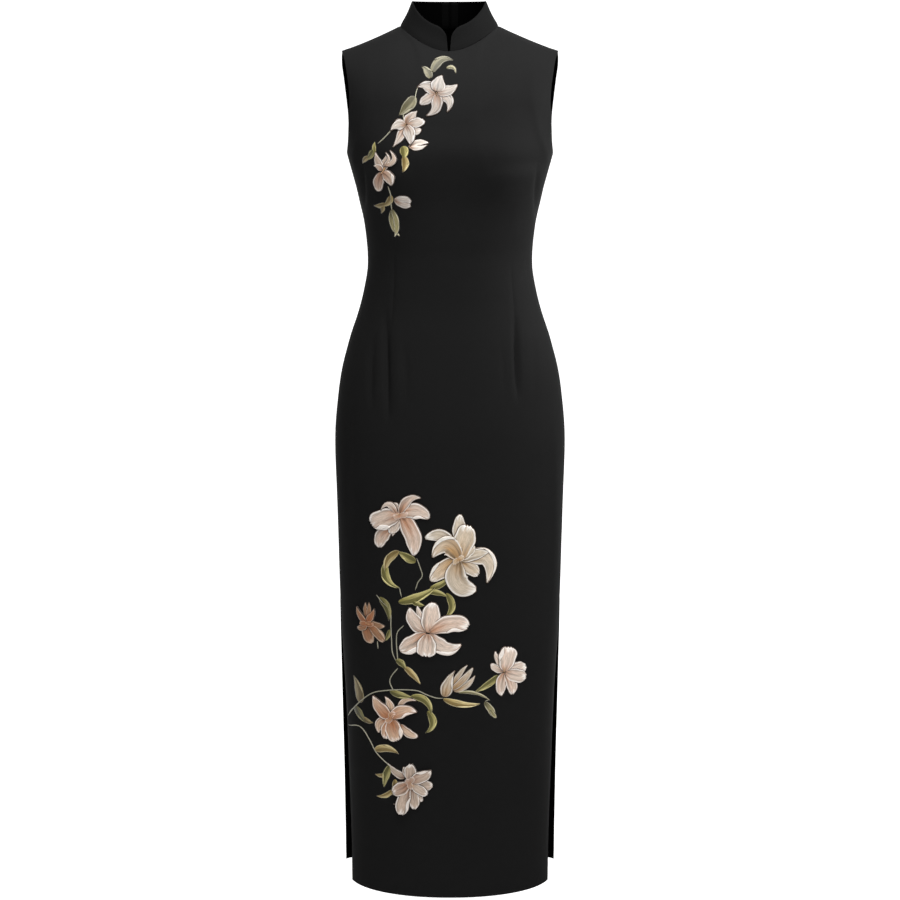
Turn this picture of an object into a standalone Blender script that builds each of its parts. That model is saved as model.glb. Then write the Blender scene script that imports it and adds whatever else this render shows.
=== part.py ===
"""A sleeveless, full-length cheongsam in black crepe, in the hollow form it has when it is worn.

Units are metres, +Z up. The front of the dress faces -Y and +X is the wearer's left. The origin is midway
between the two side neck points, where the shoulder seams meet the collar. All side and shoulder seams lie
in the plane y = 0, and the centre-back seam lies in the plane x = 0.

The cloth of every panel is a wall with an outer and an inner skin over one grid of points. Below the
underarm a grid row is a level section of the body. Above it a row climbs the chest, or the back, and ends
on the shoulder seam and the neckline, and the last point of each row follows the armhole.
"""

import math
from collections import namedtuple

import bmesh
import bpy
import numpy as np

MM = 0.001

# Cloth
PANEL_WALL = 1.8 * MM
COLLAR_WALL = 2.4 * MM
SEAM_GAP = 0.3 * MM
HALF_GAP = SEAM_GAP / 2

# Heights and widths of the cut, in millimetres from the side neck points
UNDERARM_Z = -180.0
HEM_Z = -1267.0
BACK_HEM_LIFT = 3.0
NECK_HALF = 71.0
NECK_FRONT = 67.0
NECK_BACK = 50.0
SHOULDER_HALF = 154.6
RIDGE_RISE = 16.0  # how far the line over the shoulders would climb at the middle of the neck
SHOULDER_SLOPE = 0.49
SHOULDER_EASE = 0.0009  # the shoulder line flattens towards its tip
CHEST_HOLLOW = 1.45  # above 1 the breastbone runs straighter than an ellipse
NAPE_FULLNESS = 0.80  # below 1 the upper back is rounder than an ellipse
HOLLOW_REACH = 110.0
ARMHOLE_FRONT = 57.0
ARMHOLE_BACK = 49.0

# Level sections of the body in millimetres. front_x and back_x are the half widths at the panels' side
# edges, front_y and back_y how far those edges stand from the side plane where the slit parts them,
# front and back the depths at the centre, and the last two how square each half of the section is.
Level = namedtuple("Level", "z front_x back_x front_y back_y front back front_square back_square")
LEVELS = (
    Level(-180, 148.4, 148.4, 0, 0, 119, 100, 2.5, 2.8),
    Level(-200, 142.6, 142.6, 0, 0, 120, 100, 2.5, 2.7),
    Level(-247, 131.5, 131.5, 0, 0, 113, 97, 2.4, 2.5),
    Level(-290, 122.6, 122.6, 0, 0, 99, 89, 2.2, 2.3),
    Level(-334, 119.3, 119.3, 0, 0, 90, 82, 2.1, 2.2),
    Level(-392, 129.1, 129.1, 0, 0, 91, 90, 2.1, 2.2),
    Level(-451, 147.7, 147.7, 0, 0, 96, 107, 2.1, 2.2),
    Level(-510, 161.5, 161.5, 0, 0, 101, 121, 2.1, 2.2),
    Level(-600, 169.3, 169.3, 0, 0, 106, 127, 2.1, 2.2),
    Level(-690, 167.0, 167.0, 0, 0, 106, 124, 2.1, 2.2),
    Level(-780, 164.8, 164.8, 0, 0, 104, 119, 2.1, 2.2),
    Level(-840, 163.4, 163.6, 0, 0, 103, 117, 2.1, 2.2),
    Level(-987, 155.2, 161.8, -9, 14, 102, 115, 2.1, 2.2),
    Level(-1120, 150.4, 160.4, -20, 31, 103, 115, 2.1, 2.2),
    Level(-1205, 147.7, 160.0, -26, 41, 104, 115, 2.1, 2.2),
    Level(-1267, 147.2, 159.6, -28, 46, 104.5, 115, 2.1, 2.2),
)

# The armhole's edge: share of the height from underarm to shoulder tip, and half widths there.
Armhole = namedtuple("Armhole", "share front_x back_x")
ARMHOLE = (
    Armhole(0.00, 148.4, 148.4),
    Armhole(0.13, 145.2, 147.6),
    Armhole(0.33, 143.4, 148.2),
    Armhole(0.53, 141.8, 151.0),
    Armhole(0.72, 144.8, 154.0),
    Armhole(0.90, 149.3, 156.4),
    Armhole(1.00, SHOULDER_HALF, SHOULDER_HALF),
)

# Mandarin collar, in millimetres
RIM_HALF = 52.8
RIM_FRONT = 60.0
RIM_BACK = 46.0
RIM_Z = 34.0
RIM_FALL = 36.5
RIM_FALL_POWER = 1.4
COLLAR_NOTCH = 1.6  # from the centre line to each end of the collar, at the seam
NOTCH_FLARE = 3.0  # how much further apart the two ends stand at the top
COLLAR_CORNER = 14.0  # radius of the rounded ends

# Grid of the panels and of the collar
NECK_STEPS = 7
SHOULDER_STEPS = 7
COLUMNS = NECK_STEPS + SHOULDER_STEPS
ARMHOLE_STEPS = 12
EASED_ROWS = 5  # rows each side of the underarm that are eased into one another
EASING_PASSES = 6
COLLAR_RISE_STEPS = 3
COLLAR_END_STEPS = 5
Run = namedtuple("Run", "low high steps")
RUNS = (Run(HEM_Z, -700.0, 10), Run(-700.0, UNDERARM_Z, 22))

# A dart takes the cloth in along a soft trough. Its line runs through three points of the front view, in
# millimetres, and its depth and width are those of the trough at its deepest.
Dart = namedtuple("Dart", "top_x top_z mid_x mid_z end_x end_z depth width")
DARTS = (
    Dart(-76, -318, -88, -450, -86, -570, 1.2, 8.0),
    Dart(85, -322, 97, -450, 100, -570, 1.2, 8.0),
    Dart(-124, -190, -124, -222, -127, -266, 0.9, 8.0),
    Dart(125, -190, 124, -226, 127, -272, 0.9, 8.0),
)
BUST_OUT = 6.0  # how far each cup stands forward of the level sections
BUST_X = 78.0
BUST_Z = -202.0
BUST_WIDE = 42.0
BUST_HIGH = 48.0

# Concealed zip at the centre back: its slider stands at the top of the collar, its pull hangs from it.
SLIDER_Z = 26.5
SLIDER_SIZE = (5.2, 2.2, 9.0)
SLIDER_BEVEL = 0.5
SLIDER_STANDS_OFF = 0.8  # from the collar, over the zip's coil
ARCH_INNER = 1.85
ARCH_OUTER = 2.75
ARCH_FOOT = 0.4  # how deep the arch is sunk into the slider
ARCH_WIDE = 1.2
ARCH_FACETS = 10
PULL_THICK = 1.0
PULL_TOP_HALF = 1.9
PULL_END_HALF = 2.4
PULL_LONG = 19.0
PULL_AXIS_OUT = 0.85  # from the slider's face to the axis that the pull turns on
PULL_WINDOW_HALF = 1.0
PULL_WINDOW_LONG = 3.3
PULL_END_FACETS = 10

Finish = namedtuple("Finish", "name colour roughness metallic")
CREPE = Finish("black crepe", (0.012, 0.012, 0.013, 1), 0.85, 0.0)
COLLAR_CREPE = Finish("interfaced black crepe", (0.014, 0.014, 0.015, 1), 0.8, 0.0)
ZIP_METAL = Finish("black enamelled zinc", (0.02, 0.02, 0.02, 1), 0.35, 1.0)


def flow(table, column, at):
    """Read a column of a table at the given places, along a smooth curve that never overshoots its rows."""
    places = np.array([row[0] for row in table], float)
    values = np.array([getattr(row, column) for row in table], float)
    if places[0] > places[-1]:
        places, values = places[::-1], values[::-1]
    steps = np.diff(places)
    slopes = np.diff(values) / steps
    tangents = np.zeros(len(values))
    rising = slopes[:-1] * slopes[1:] > 0
    before, after = slopes[:-1][rising], slopes[1:][rising]
    tangents[1:-1][rising] = 2 * before * after / (before + after)
    tangents[0], tangents[-1] = slopes[0], slopes[-1]
    at = np.asarray(at, float)
    cell = np.clip(np.searchsorted(places, at) - 1, 0, len(steps) - 1)
    share = (at - places[cell]) / steps[cell]
    keep = share * share * (3 - 2 * share)
    ease_in = share * (1 - share) ** 2 * steps[cell]
    ease_out = share * share * (share - 1) * steps[cell]
    return (
        values[cell] * (1 - keep)
        + values[cell + 1] * keep
        + tangents[cell] * ease_in
        + tangents[cell + 1] * ease_out
    )


def ridge(x):
    """Height of the line over the shoulders at half width x."""
    beyond = np.maximum(x - NECK_HALF, 0)
    inside = np.minimum(x / NECK_HALF, 1)
    return RIDGE_RISE * (1 - inside**2) - SHOULDER_SLOPE * beyond + SHOULDER_EASE * beyond**2


def full_half(edge_x, edge_share, square):
    """Half width of the whole section whose edge stands at edge_x, edge_share of the depth forward."""
    return edge_x / (1 - edge_share**square) ** (1 / square)


def even_steps(edge_x, edge_share, depth, square, count):
    """Half widths of points that divide a section evenly, from its centre to its edge."""
    angles = np.linspace(0, math.acos(edge_share ** (square / 2)), 300)
    x = full_half(edge_x, edge_share, square) * np.sin(angles) ** (2 / square)
    y = depth * np.cos(angles) ** (2 / square)
    lengths = np.concatenate([[0], np.cumsum(np.hypot(np.diff(x), np.diff(y)))])
    return np.interp(np.linspace(0, lengths[-1], count + 1), lengths, x)


def section_depth(x, full, square):
    """Share of the depth that a section has left at half width x."""
    return np.maximum(1 - (x / full) ** square, 0) ** (1 / square)


class Side:
    """The front or the back: its sign along y, and what its chest or shoulder blades ask for."""

    def __init__(self, name, sign, neck_depth, armhole_depth, hollow, hem_lift):
        self.name = name
        self.sign = sign
        self.neck_depth = neck_depth
        self.armhole_depth = armhole_depth
        self.hollow = hollow
        self.hem_lift = hem_lift

    def level(self, column, z):
        return flow(LEVELS, f"{self.name}_{column}" if column else self.name, z)


FRONT = Side("front", -1, NECK_FRONT, ARMHOLE_FRONT, CHEST_HOLLOW, 0.0)
BACK = Side("back", 1, NECK_BACK, ARMHOLE_BACK, NAPE_FULLNESS, BACK_HEM_LIFT)


def dart_line(dart, z):
    """Share of the way down the dart and the line's x there, on a curve through its three points."""
    share = (z - dart.top_z) / (dart.end_z - dart.top_z)
    middle = (dart.mid_z - dart.top_z) / (dart.end_z - dart.top_z)
    straight = dart.top_x + (dart.end_x - dart.top_x) * share
    bow = dart.mid_x - (dart.top_x + (dart.end_x - dart.top_x) * middle)
    return share, straight + bow * share * (1 - share) / (middle * (1 - middle))


def run_down_darts(x, z, darts):
    """Move the nearest column onto each dart's line, and its neighbours a part of the way."""
    for dart in darts:
        share, line_x = dart_line(dart, z)
        if 0 <= share <= 1:
            nearest = int(np.argmin(np.abs(x - abs(line_x))))
            apart = np.arange(len(x)) - nearest
            x = x + (abs(line_x) - x[nearest]) * np.exp(-((apart / 1.2) ** 2)) * (apart + nearest > 0)
    return x


def skirt_row(side, z, darts):
    """Level section at height z, from the centre line to the side edge."""
    edge_x, depth = side.level("x", z), side.level("", z)
    edge_share = abs(side.level("y", z)) / depth
    square = side.level("square", z)
    x = even_steps(edge_x, edge_share, depth, square, COLUMNS)
    x[:-1] = run_down_darts(x, z, darts)[:-1]
    y = side.sign * depth * section_depth(x, full_half(edge_x, edge_share, square), square)
    y[-1] = side.level("y", z)
    return np.stack([x, y, np.full_like(x, z)], axis=1)


def power_at(side, x):
    """How much the climb departs from an ellipse: most at the centre, not at all near the armhole."""
    fade = np.clip(1 - x / HOLLOW_REACH, 0, 1)
    return 1 + (side.hollow - 1) * fade * fade * (3 - 2 * fade)


def top_places(side, full, square, depth):
    """Half width and climb of each column where it ends on the neckline or on the shoulder seam."""
    turn = np.linspace(0, math.pi / 2, NECK_STEPS + 1)
    neck_x = NECK_HALF * np.sin(turn)
    neck_share = side.neck_depth * np.cos(turn) / (depth * section_depth(neck_x, full, square))
    neck_climb = np.arccos(neck_share ** (1 / power_at(side, neck_x)))
    shoulder_x = np.linspace(NECK_HALF, SHOULDER_HALF, SHOULDER_STEPS + 1)[1:]
    x = np.concatenate([neck_x, shoulder_x])
    climb = np.concatenate([neck_climb, np.full(SHOULDER_STEPS, math.pi / 2)])
    return x, climb


def bodice_rows(side):
    """The rows above the underarm, each from the centre line or the neckline to the armhole."""
    depth = float(side.level("", UNDERARM_Z))
    square = float(side.level("square", UNDERARM_Z))
    around = np.linspace(0, math.pi, ARMHOLE_STEPS + 1)[1:]
    rows = []
    for height in (1 - np.cos(around)) / 2:
        edge_x = float(flow(ARMHOLE, f"{side.name}_x", height))
        edge_share = 2 * side.armhole_depth / depth * math.sqrt(height / (1 + height))
        full = full_half(edge_x, edge_share, square)
        climb = math.asin(min(height, 1))
        raised = climb / (math.pi / 2)
        even = even_steps(edge_x, edge_share, depth * math.cos(climb), square, COLUMNS)
        top_x, top_climb = top_places(side, full, square, depth)
        blend = raised**1.5
        x = even * (1 - blend) + top_x * (edge_x / SHOULDER_HALF) * blend
        climbs = raised * top_climb
        y = side.sign * depth * np.cos(climbs) ** power_at(side, x) * section_depth(x, full, square)
        z = UNDERARM_Z + (ridge(x) - UNDERARM_Z) * np.sin(climbs)
        rows.append(np.stack([x, y, z], axis=1))
    rows[-1][NECK_STEPS:, 1] = 0
    return rows


def ease_underarm(rows, underarm):
    """Take out the crease where the level sections turn into climbing ones, all but at the side edge."""
    near = np.arange(underarm - EASED_ROWS, underarm + EASED_ROWS + 1)
    hold = (np.arange(COLUMNS + 1) / COLUMNS) ** 4
    for _ in range(EASING_PASSES):
        middle = (rows[near - 1] + 2 * rows[near] + rows[near + 1]) / 4
        rows[near] += (middle - rows[near]) * (1 - hold)[None, :, None]


def half_panel(side, darts=()):
    """Grid of one half of the front or back, in metres: rows from hem to shoulder, columns outwards."""
    heights = [np.linspace(run.low, run.high, run.steps + 1)[:-1] for run in RUNS]
    heights = np.concatenate(heights + [[UNDERARM_Z]])
    rows = np.array([skirt_row(side, z, darts) for z in heights] + bodice_rows(side))
    ease_underarm(rows, len(heights) - 1)
    if side is FRONT:
        beside = (rows[..., 0] - BUST_X) / BUST_WIDE
        above = (rows[..., 2] - BUST_Z) / BUST_HIGH
        rows[..., 1] -= BUST_OUT * np.exp(-(beside**2) - above**2)
    raised = np.clip(1 - (rows[..., 2] - HEM_Z) / (-HEM_Z / 4), 0, 1)
    rows[..., 2] += side.hem_lift * raised
    return rows * MM


def mirrored(points):
    return points * np.array([-1.0, 1.0, 1.0])


def unit(vectors):
    return vectors / np.linalg.norm(vectors, axis=-1, keepdims=True)


def skin_normals(grid):
    """Unit outward normals of a half panel, by its rows and columns."""
    normals = unit(np.cross(np.gradient(grid, axis=1), np.gradient(grid, axis=0)))
    return normals * np.sign(normals[len(grid) // 2, 0, 1] * grid[len(grid) // 2, 0, 1])


def seam_normals(side, grid):
    """Outward normals that lie flat in the seam planes, so that two panels meet face to face."""
    normals = skin_normals(grid)
    normals[:, 0, 0] = 0
    on_side_seam = (np.abs(grid[:, -1, 1]) < HALF_GAP) & (grid[:, -1, 2] <= UNDERARM_Z * MM)
    normals[on_side_seam, -1, 1] = 0
    normals[-1, NECK_STEPS] = normals[-1, NECK_STEPS + 1]
    normals[-1, NECK_STEPS:, 1] = 0
    return unit(normals), on_side_seam


def rim_point(turn):
    """Point on the collar's top edge, turned from the centre front (0) to the centre back (pi)."""
    fall = RIM_FALL * np.maximum(np.cos(turn), 0) ** RIM_FALL_POWER
    centre_y, depth = (RIM_BACK - RIM_FRONT) / 2, (RIM_BACK + RIM_FRONT) / 2
    return np.stack([RIM_HALF * np.sin(turn), centre_y - depth * np.cos(turn), RIM_Z - fall], axis=-1) * MM


def neckline(side, grid, normals):
    """Where panel and collar meet: the points, the mitre that both walls end on, and the way across it."""
    points = grid[-1, : NECK_STEPS + 1]
    turn = np.linspace(0, math.pi / 2, NECK_STEPS + 1)
    rim = rim_point(turn if side is FRONT else math.pi - turn)
    along = unit(np.gradient(points, axis=0))
    along[0] = (1, 0, 0)
    along[-1] = (0, 1, 0)
    panel_out = normals[-1, : NECK_STEPS + 1]
    panel_out = unit(panel_out - along * np.sum(panel_out * along, axis=1, keepdims=True))
    rise = rim - points
    rise = unit(rise - along * np.sum(rise * along, axis=1, keepdims=True))
    collar_out = np.cross(along, rise)
    collar_out *= np.sign(np.sum(collar_out * panel_out, axis=1, keepdims=True))
    panel_rise = np.cross(along, panel_out)
    panel_rise *= np.sign(np.sum(panel_rise * rise, axis=1, keepdims=True))
    half_turn = np.sum(unit(panel_out + collar_out) * panel_out, axis=1, keepdims=True)
    return points, rim, unit(panel_out + collar_out) / half_turn, unit(panel_rise + rise), collar_out


def trough(points, normals, darts):
    """The outer skin, let in along the darts."""
    let_in = np.zeros(points.shape[:2])
    for dart in darts:
        share, line_x = dart_line(dart, points[..., 2] / MM)
        inside = np.clip(share, 0, 1)
        across = (points[..., 0] / MM - abs(line_x)) / dart.width
        let_in += dart.depth * np.sin(math.pi * inside) ** 0.8 * np.exp(-(across**2))
    return points - normals * let_in[..., None] * MM


def walls_of(side, darts=()):
    """Outer and inner grids of a half panel, parted from its neighbours by half a seam gap."""
    grid = half_panel(side, darts)
    normals, on_side_seam = seam_normals(side, grid)
    _, _, mitre, across, _ = neckline(side, grid, normals)
    lifts = normals.copy()
    lifts[-1, : NECK_STEPS + 1] = mitre
    grid[on_side_seam, -1, 1] = side.sign * HALF_GAP
    grid[-1, NECK_STEPS:, 1] = side.sign * HALF_GAP
    grid[-1, : NECK_STEPS + 1] -= across * HALF_GAP
    return trough(grid, normals, darts), grid - lifts * PANEL_WALL


def wall_object(name, outer, inner, finish):
    """Closed wall between an outer and an inner grid of points."""
    mesh = bmesh.new()
    skins = [[[mesh.verts.new(p) for p in row] for row in grid] for grid in (outer, inner)]
    rows, columns = outer.shape[0] - 1, outer.shape[1] - 1
    for skin in skins:
        for i in range(rows):
            for j in range(columns):
                mesh.faces.new((skin[i][j], skin[i][j + 1], skin[i + 1][j + 1], skin[i + 1][j]))
    border = [(0, j) for j in range(columns)] + [(i, columns) for i in range(rows)]
    border += [(rows, j) for j in range(columns, 0, -1)] + [(i, 0) for i in range(rows, 0, -1)]
    for (i, j), (k, m) in zip(border, border[1:] + border[:1]):
        mesh.faces.new((skins[0][i][j], skins[0][k][m], skins[1][k][m], skins[1][i][j]))
    bmesh.ops.recalc_face_normals(mesh, faces=mesh.faces[:])
    bmesh.ops.triangulate(mesh, faces=mesh.faces[:])
    return new_object(name, mesh, finish)


def new_object(name, mesh, finish):
    data = bpy.data.meshes.new(name)
    mesh.to_mesh(data)
    mesh.free()
    data.shade_smooth()
    data.set_sharp_from_angle(angle=math.radians(40))
    data.materials.append(material(finish))
    made = bpy.data.objects.new(name, data)
    bpy.context.scene.collection.objects.link(made)
    return made


def material(finish):
    made = bpy.data.materials.get(finish.name)
    if made is None:
        made = bpy.data.materials.new(finish.name)
        made.use_nodes = True
        shader = made.node_tree.nodes["Principled BSDF"]
        shader.inputs["Base Color"].default_value = finish.colour
        shader.inputs["Roughness"].default_value = finish.roughness
        shader.inputs["Metallic"].default_value = finish.metallic
    return made


def make_front():
    """One panel over the whole front: its two halves share the centre column."""
    halves = []
    for sign in (-1, 1):
        darts = [dart for dart in DARTS if dart.mid_x * sign > 0]
        halves.append(walls_of(FRONT, darts))
    skins = [np.concatenate([mirrored(right)[:, :0:-1], left], axis=1) for right, left in zip(*halves)]
    return wall_object("front", skins[0], skins[1], CREPE)


def make_back(name, sign):
    """Half of the back, from the centre-back seam to the side seam and the armhole."""
    outer, inner = walls_of(BACK)
    for skin in (outer, inner):
        skin[:, 0, 0] = HALF_GAP
    if sign < 0:
        outer, inner = mirrored(outer), mirrored(inner)
    return wall_object(name, outer, inner, CREPE)


def collar_columns():
    """What every column of a collar half needs, from the centre front round to the zip.

    They are the point on the neckline, the point on the rim, the mitre, the way across the seam and the
    collar's own outward normal. Close columns along the first neckline step carry the rounded end.
    """
    meets = []
    for side in (FRONT, BACK):
        grid = half_panel(side)
        meets.append(neckline(side, grid, seam_normals(side, grid)[0]))
    whole = [np.concatenate([front, back[-2::-1]]) for front, back in zip(*meets)]
    shares = np.linspace(COLLAR_NOTCH * MM / whole[0][1, 0], 1, COLLAR_END_STEPS + 1)[:-1]
    columns = []
    for values in whole:
        end = values[0] + (values[1] - values[0]) * shares[:, None]
        columns.append(np.concatenate([end, values[1:]]))
    columns[1][:COLLAR_END_STEPS, 0] += NOTCH_FLARE * MM * np.linspace(1, 0, COLLAR_END_STEPS, endpoint=False)
    for values in columns[:2]:
        values[-1, 0] = HALF_GAP
    for values in columns[2:]:
        values[-1, 0] = 0
    return columns


def make_collar(name, sign):
    """Half of the mandarin collar, from its rounded end at the centre front to the zip."""
    points, rim, mitre, across, out = collar_columns()
    base = points + across * HALF_GAP
    radius = COLLAR_CORNER * MM
    from_end = np.minimum(np.maximum.accumulate(rim[:, 0]) - rim[0, 0], radius)
    drop = radius - np.sqrt(radius**2 - (radius - from_end) ** 2)
    rise = rim - base
    rise *= (1 - drop / np.linalg.norm(rise, axis=1))[:, None]
    outer = np.array([base + rise * share for share in np.linspace(0, 1, COLLAR_RISE_STEPS + 1)])
    lifts = np.array([mitre] + [unit(out)] * COLLAR_RISE_STEPS)
    inner = outer - lifts * COLLAR_WALL
    if sign < 0:
        outer, inner = mirrored(outer), mirrored(inner)
    return wall_object(name, outer, inner, COLLAR_CREPE)


def slider_face():
    """How far back the slider's outer face stands."""
    rise = SLIDER_Z / RIM_Z
    cloth_y = NECK_BACK + (RIM_BACK - NECK_BACK) * rise
    return cloth_y + SLIDER_STANDS_OFF + SLIDER_SIZE[1]


def make_slider():
    """Slider body with the arch that carries the pull."""
    mesh = bmesh.new()
    bmesh.ops.create_cube(mesh, size=1)
    bmesh.ops.scale(mesh, vec=[side * MM for side in SLIDER_SIZE], verts=mesh.verts)
    edges = mesh.edges[:]
    bmesh.ops.bevel(mesh, geom=edges, offset=SLIDER_BEVEL * MM, segments=2, profile=0.5, affect="EDGES")
    slider = new_object("zip_slider", mesh, ZIP_METAL)
    slider.location = (0, (slider_face() - SLIDER_SIZE[1] / 2) * MM, SLIDER_Z * MM)
    arch = bmesh.new()
    turns = np.linspace(0, math.pi, ARCH_FACETS + 1)
    outline = [(-ARCH_FOOT, -ARCH_OUTER)]
    outline += [(ARCH_OUTER * math.sin(t), -ARCH_OUTER * math.cos(t)) for t in turns]
    outline += [(-ARCH_FOOT, ARCH_OUTER), (-ARCH_FOOT, ARCH_INNER)]
    outline += [(ARCH_INNER * math.sin(t), ARCH_INNER * math.cos(t)) for t in turns]
    outline += [(-ARCH_FOOT, -ARCH_INNER)]
    ring = [arch.verts.new((-ARCH_WIDE / 2 * MM, y * MM, z * MM)) for y, z in outline]
    extruded = bmesh.ops.extrude_face_region(arch, geom=[arch.faces.new(ring)])
    moved = [item for item in extruded["geom"] if isinstance(item, bmesh.types.BMVert)]
    bmesh.ops.translate(arch, vec=(ARCH_WIDE * MM, 0, 0), verts=moved)
    bmesh.ops.recalc_face_normals(arch, faces=arch.faces[:])
    bridge = new_object("slider_arch", arch, ZIP_METAL)
    bridge.location = (0, slider_face() * MM, SLIDER_Z * MM)
    add_boolean(slider, bridge, "UNION")
    return slider


def make_pull():
    """Tapered pull whose window takes the slider's arch. Its origin lies on its hinge axis."""
    mesh = bmesh.new()
    half_thick = PULL_THICK / 2
    straight_end = -(PULL_LONG - PULL_END_HALF)
    turns = np.linspace(0, math.pi, PULL_END_FACETS + 1)
    outline = [(PULL_TOP_HALF, half_thick), (-PULL_TOP_HALF, half_thick)]
    outline += [(-PULL_END_HALF * math.cos(t), straight_end - PULL_END_HALF * math.sin(t)) for t in turns]
    ring = [mesh.verts.new((x * MM, -half_thick * MM, z * MM)) for x, z in outline]
    extruded = bmesh.ops.extrude_face_region(mesh, geom=[mesh.faces.new(ring)])
    moved = [item for item in extruded["geom"] if isinstance(item, bmesh.types.BMVert)]
    bmesh.ops.translate(mesh, vec=(0, PULL_THICK * MM, 0), verts=moved)
    bmesh.ops.recalc_face_normals(mesh, faces=mesh.faces[:])
    pull = new_object("zip_pull", mesh, ZIP_METAL)
    pull.location = (0, (slider_face() + PULL_AXIS_OUT) * MM, SLIDER_Z * MM)
    window = bmesh.new()
    bmesh.ops.create_cube(window, size=1)
    long = PULL_WINDOW_LONG - half_thick
    size = (2 * PULL_WINDOW_HALF * MM, 4 * PULL_THICK * MM, long * MM)
    bmesh.ops.scale(window, vec=size, verts=window.verts)
    cutter = new_object("pull_window", window, ZIP_METAL)
    cutter.location = pull.location
    cutter.location.z -= (half_thick + long / 2) * MM
    add_boolean(pull, cutter, "DIFFERENCE")
    return pull


def add_boolean(target, other, operation):
    modifier = target.modifiers.new(other.name, "BOOLEAN")
    modifier.operation = operation
    modifier.object = other
    modifier.solver = "EXACT"
    other.hide_render = True
    other.display_type = "WIRE"


def main():
    for old in list(bpy.data.objects):
        bpy.data.objects.remove(old)
    pieces = [make_front()]
    for hand, sign in (("left", 1), ("right", -1)):
        pieces.append(make_back(f"back_{hand}", sign))
        pieces.append(make_collar(f"collar_{hand}", sign))
    pieces += [make_slider(), make_pull()]
    dress = bpy.data.objects.new("cheongsam", None)
    bpy.context.scene.collection.objects.link(dress)
    for piece in pieces:
        piece.parent = dress


if __name__ == "__main__":
    main()
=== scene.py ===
"""A sleeveless, full-length cheongsam in black crepe, with two sprays of blossom worked in silk.

Units are metres unless a name or a table says millimetres, +Z up. The front of the dress faces -Y and +X is
the wearer's left. The origin is midway between the two side neck points. The panels are worked out from
the same levels as the frame's own solids, read more finely and with the marks that sewing leaves in cloth:
darts, let-in seams, turned edges and soft folds. The embroidery lies on the front panel's outer skin.
"""

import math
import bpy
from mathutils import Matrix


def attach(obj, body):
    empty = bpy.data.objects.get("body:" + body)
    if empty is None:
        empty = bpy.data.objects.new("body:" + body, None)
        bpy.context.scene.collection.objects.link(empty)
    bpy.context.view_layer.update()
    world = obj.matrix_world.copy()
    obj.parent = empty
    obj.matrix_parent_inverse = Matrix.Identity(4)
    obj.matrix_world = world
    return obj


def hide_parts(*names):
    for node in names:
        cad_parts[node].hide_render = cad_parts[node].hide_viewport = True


bl_info = {
    "name": "Embroidered cheongsam",
    "version": (1, 0, 0),
    "blender": (4, 5, 0),
    "location": "3D View > Sidebar > Cheongsam",
    "description": "Builds a worn black crepe cheongsam with blossom worked in silk",
    "category": "Object",
}

from collections import namedtuple
from functools import lru_cache

import bmesh
import bpy
import numpy as np
from bpy.props import FloatProperty, FloatVectorProperty, PointerProperty
from mathutils import Vector
from mathutils.bvhtree import BVHTree

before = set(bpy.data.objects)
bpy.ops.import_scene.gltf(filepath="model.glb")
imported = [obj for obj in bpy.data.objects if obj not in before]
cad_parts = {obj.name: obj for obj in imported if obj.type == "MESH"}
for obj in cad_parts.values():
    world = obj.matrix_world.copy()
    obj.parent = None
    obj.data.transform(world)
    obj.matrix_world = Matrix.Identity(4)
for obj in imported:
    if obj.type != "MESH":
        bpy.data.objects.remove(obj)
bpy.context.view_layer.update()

MM = 0.001

# ---------------------------------------------------------------- sizes that the panels share with the frame

# Half the gap at a seam, in millimetres, in the frame and in the fine model, where it lets no light through
FRAME_HALF_GAP = 0.15
SEWN_GAP = 0.005

# Heights and widths of the cut, in millimetres from the side neck points
UNDERARM_Z = -180.0
SLIT_TOP_Z = -840.0
HEM_Z = -1267.0
BACK_HEM_LIFT = 3.0
HEM_LIFT_REACH = -HEM_Z / 4
NECK_HALF = 71.0
NECK_FRONT = 67.0
NECK_BACK = 50.0
SHOULDER_HALF = 154.6
RIDGE_RISE = 16.0
SHOULDER_SLOPE = 0.49
SHOULDER_EASE = 0.0009
CHEST_HOLLOW = 1.45
NAPE_FULLNESS = 0.80
HOLLOW_REACH = 110.0
ARMHOLE_FRONT = 57.0
ARMHOLE_BACK = 49.0

# Level sections of the body in millimetres: half widths at the panels' side edges, how far those edges stand
# from the side plane where the slit parts them, depths at the centre, and how square each half is.
Level = namedtuple("Level", "z front_x back_x front_y back_y front back front_square back_square")
LEVELS = (
    Level(-180, 148.4, 148.4, 0, 0, 119, 100, 2.5, 2.8),
    Level(-200, 142.6, 142.6, 0, 0, 120, 100, 2.5, 2.7),
    Level(-247, 131.5, 131.5, 0, 0, 113, 97, 2.4, 2.5),
    Level(-290, 122.6, 122.6, 0, 0, 99, 89, 2.2, 2.3),
    Level(-334, 119.3, 119.3, 0, 0, 90, 82, 2.1, 2.2),
    Level(-392, 129.1, 129.1, 0, 0, 91, 90, 2.1, 2.2),
    Level(-451, 147.7, 147.7, 0, 0, 96, 107, 2.1, 2.2),
    Level(-510, 161.5, 161.5, 0, 0, 101, 121, 2.1, 2.2),
    Level(-600, 169.3, 169.3, 0, 0, 106, 127, 2.1, 2.2),
    Level(-690, 167.0, 167.0, 0, 0, 106, 124, 2.1, 2.2),
    Level(-780, 164.8, 164.8, 0, 0, 104, 119, 2.1, 2.2),
    Level(-840, 163.4, 163.6, 0, 0, 103, 117, 2.1, 2.2),
    Level(-987, 155.2, 161.8, -9, 14, 102, 115, 2.1, 2.2),
    Level(-1120, 150.4, 160.4, -20, 31, 103, 115, 2.1, 2.2),
    Level(-1205, 147.7, 160.0, -26, 41, 104, 115, 2.1, 2.2),
    Level(-1267, 147.2, 159.6, -28, 46, 104.5, 115, 2.1, 2.2),
)

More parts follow.
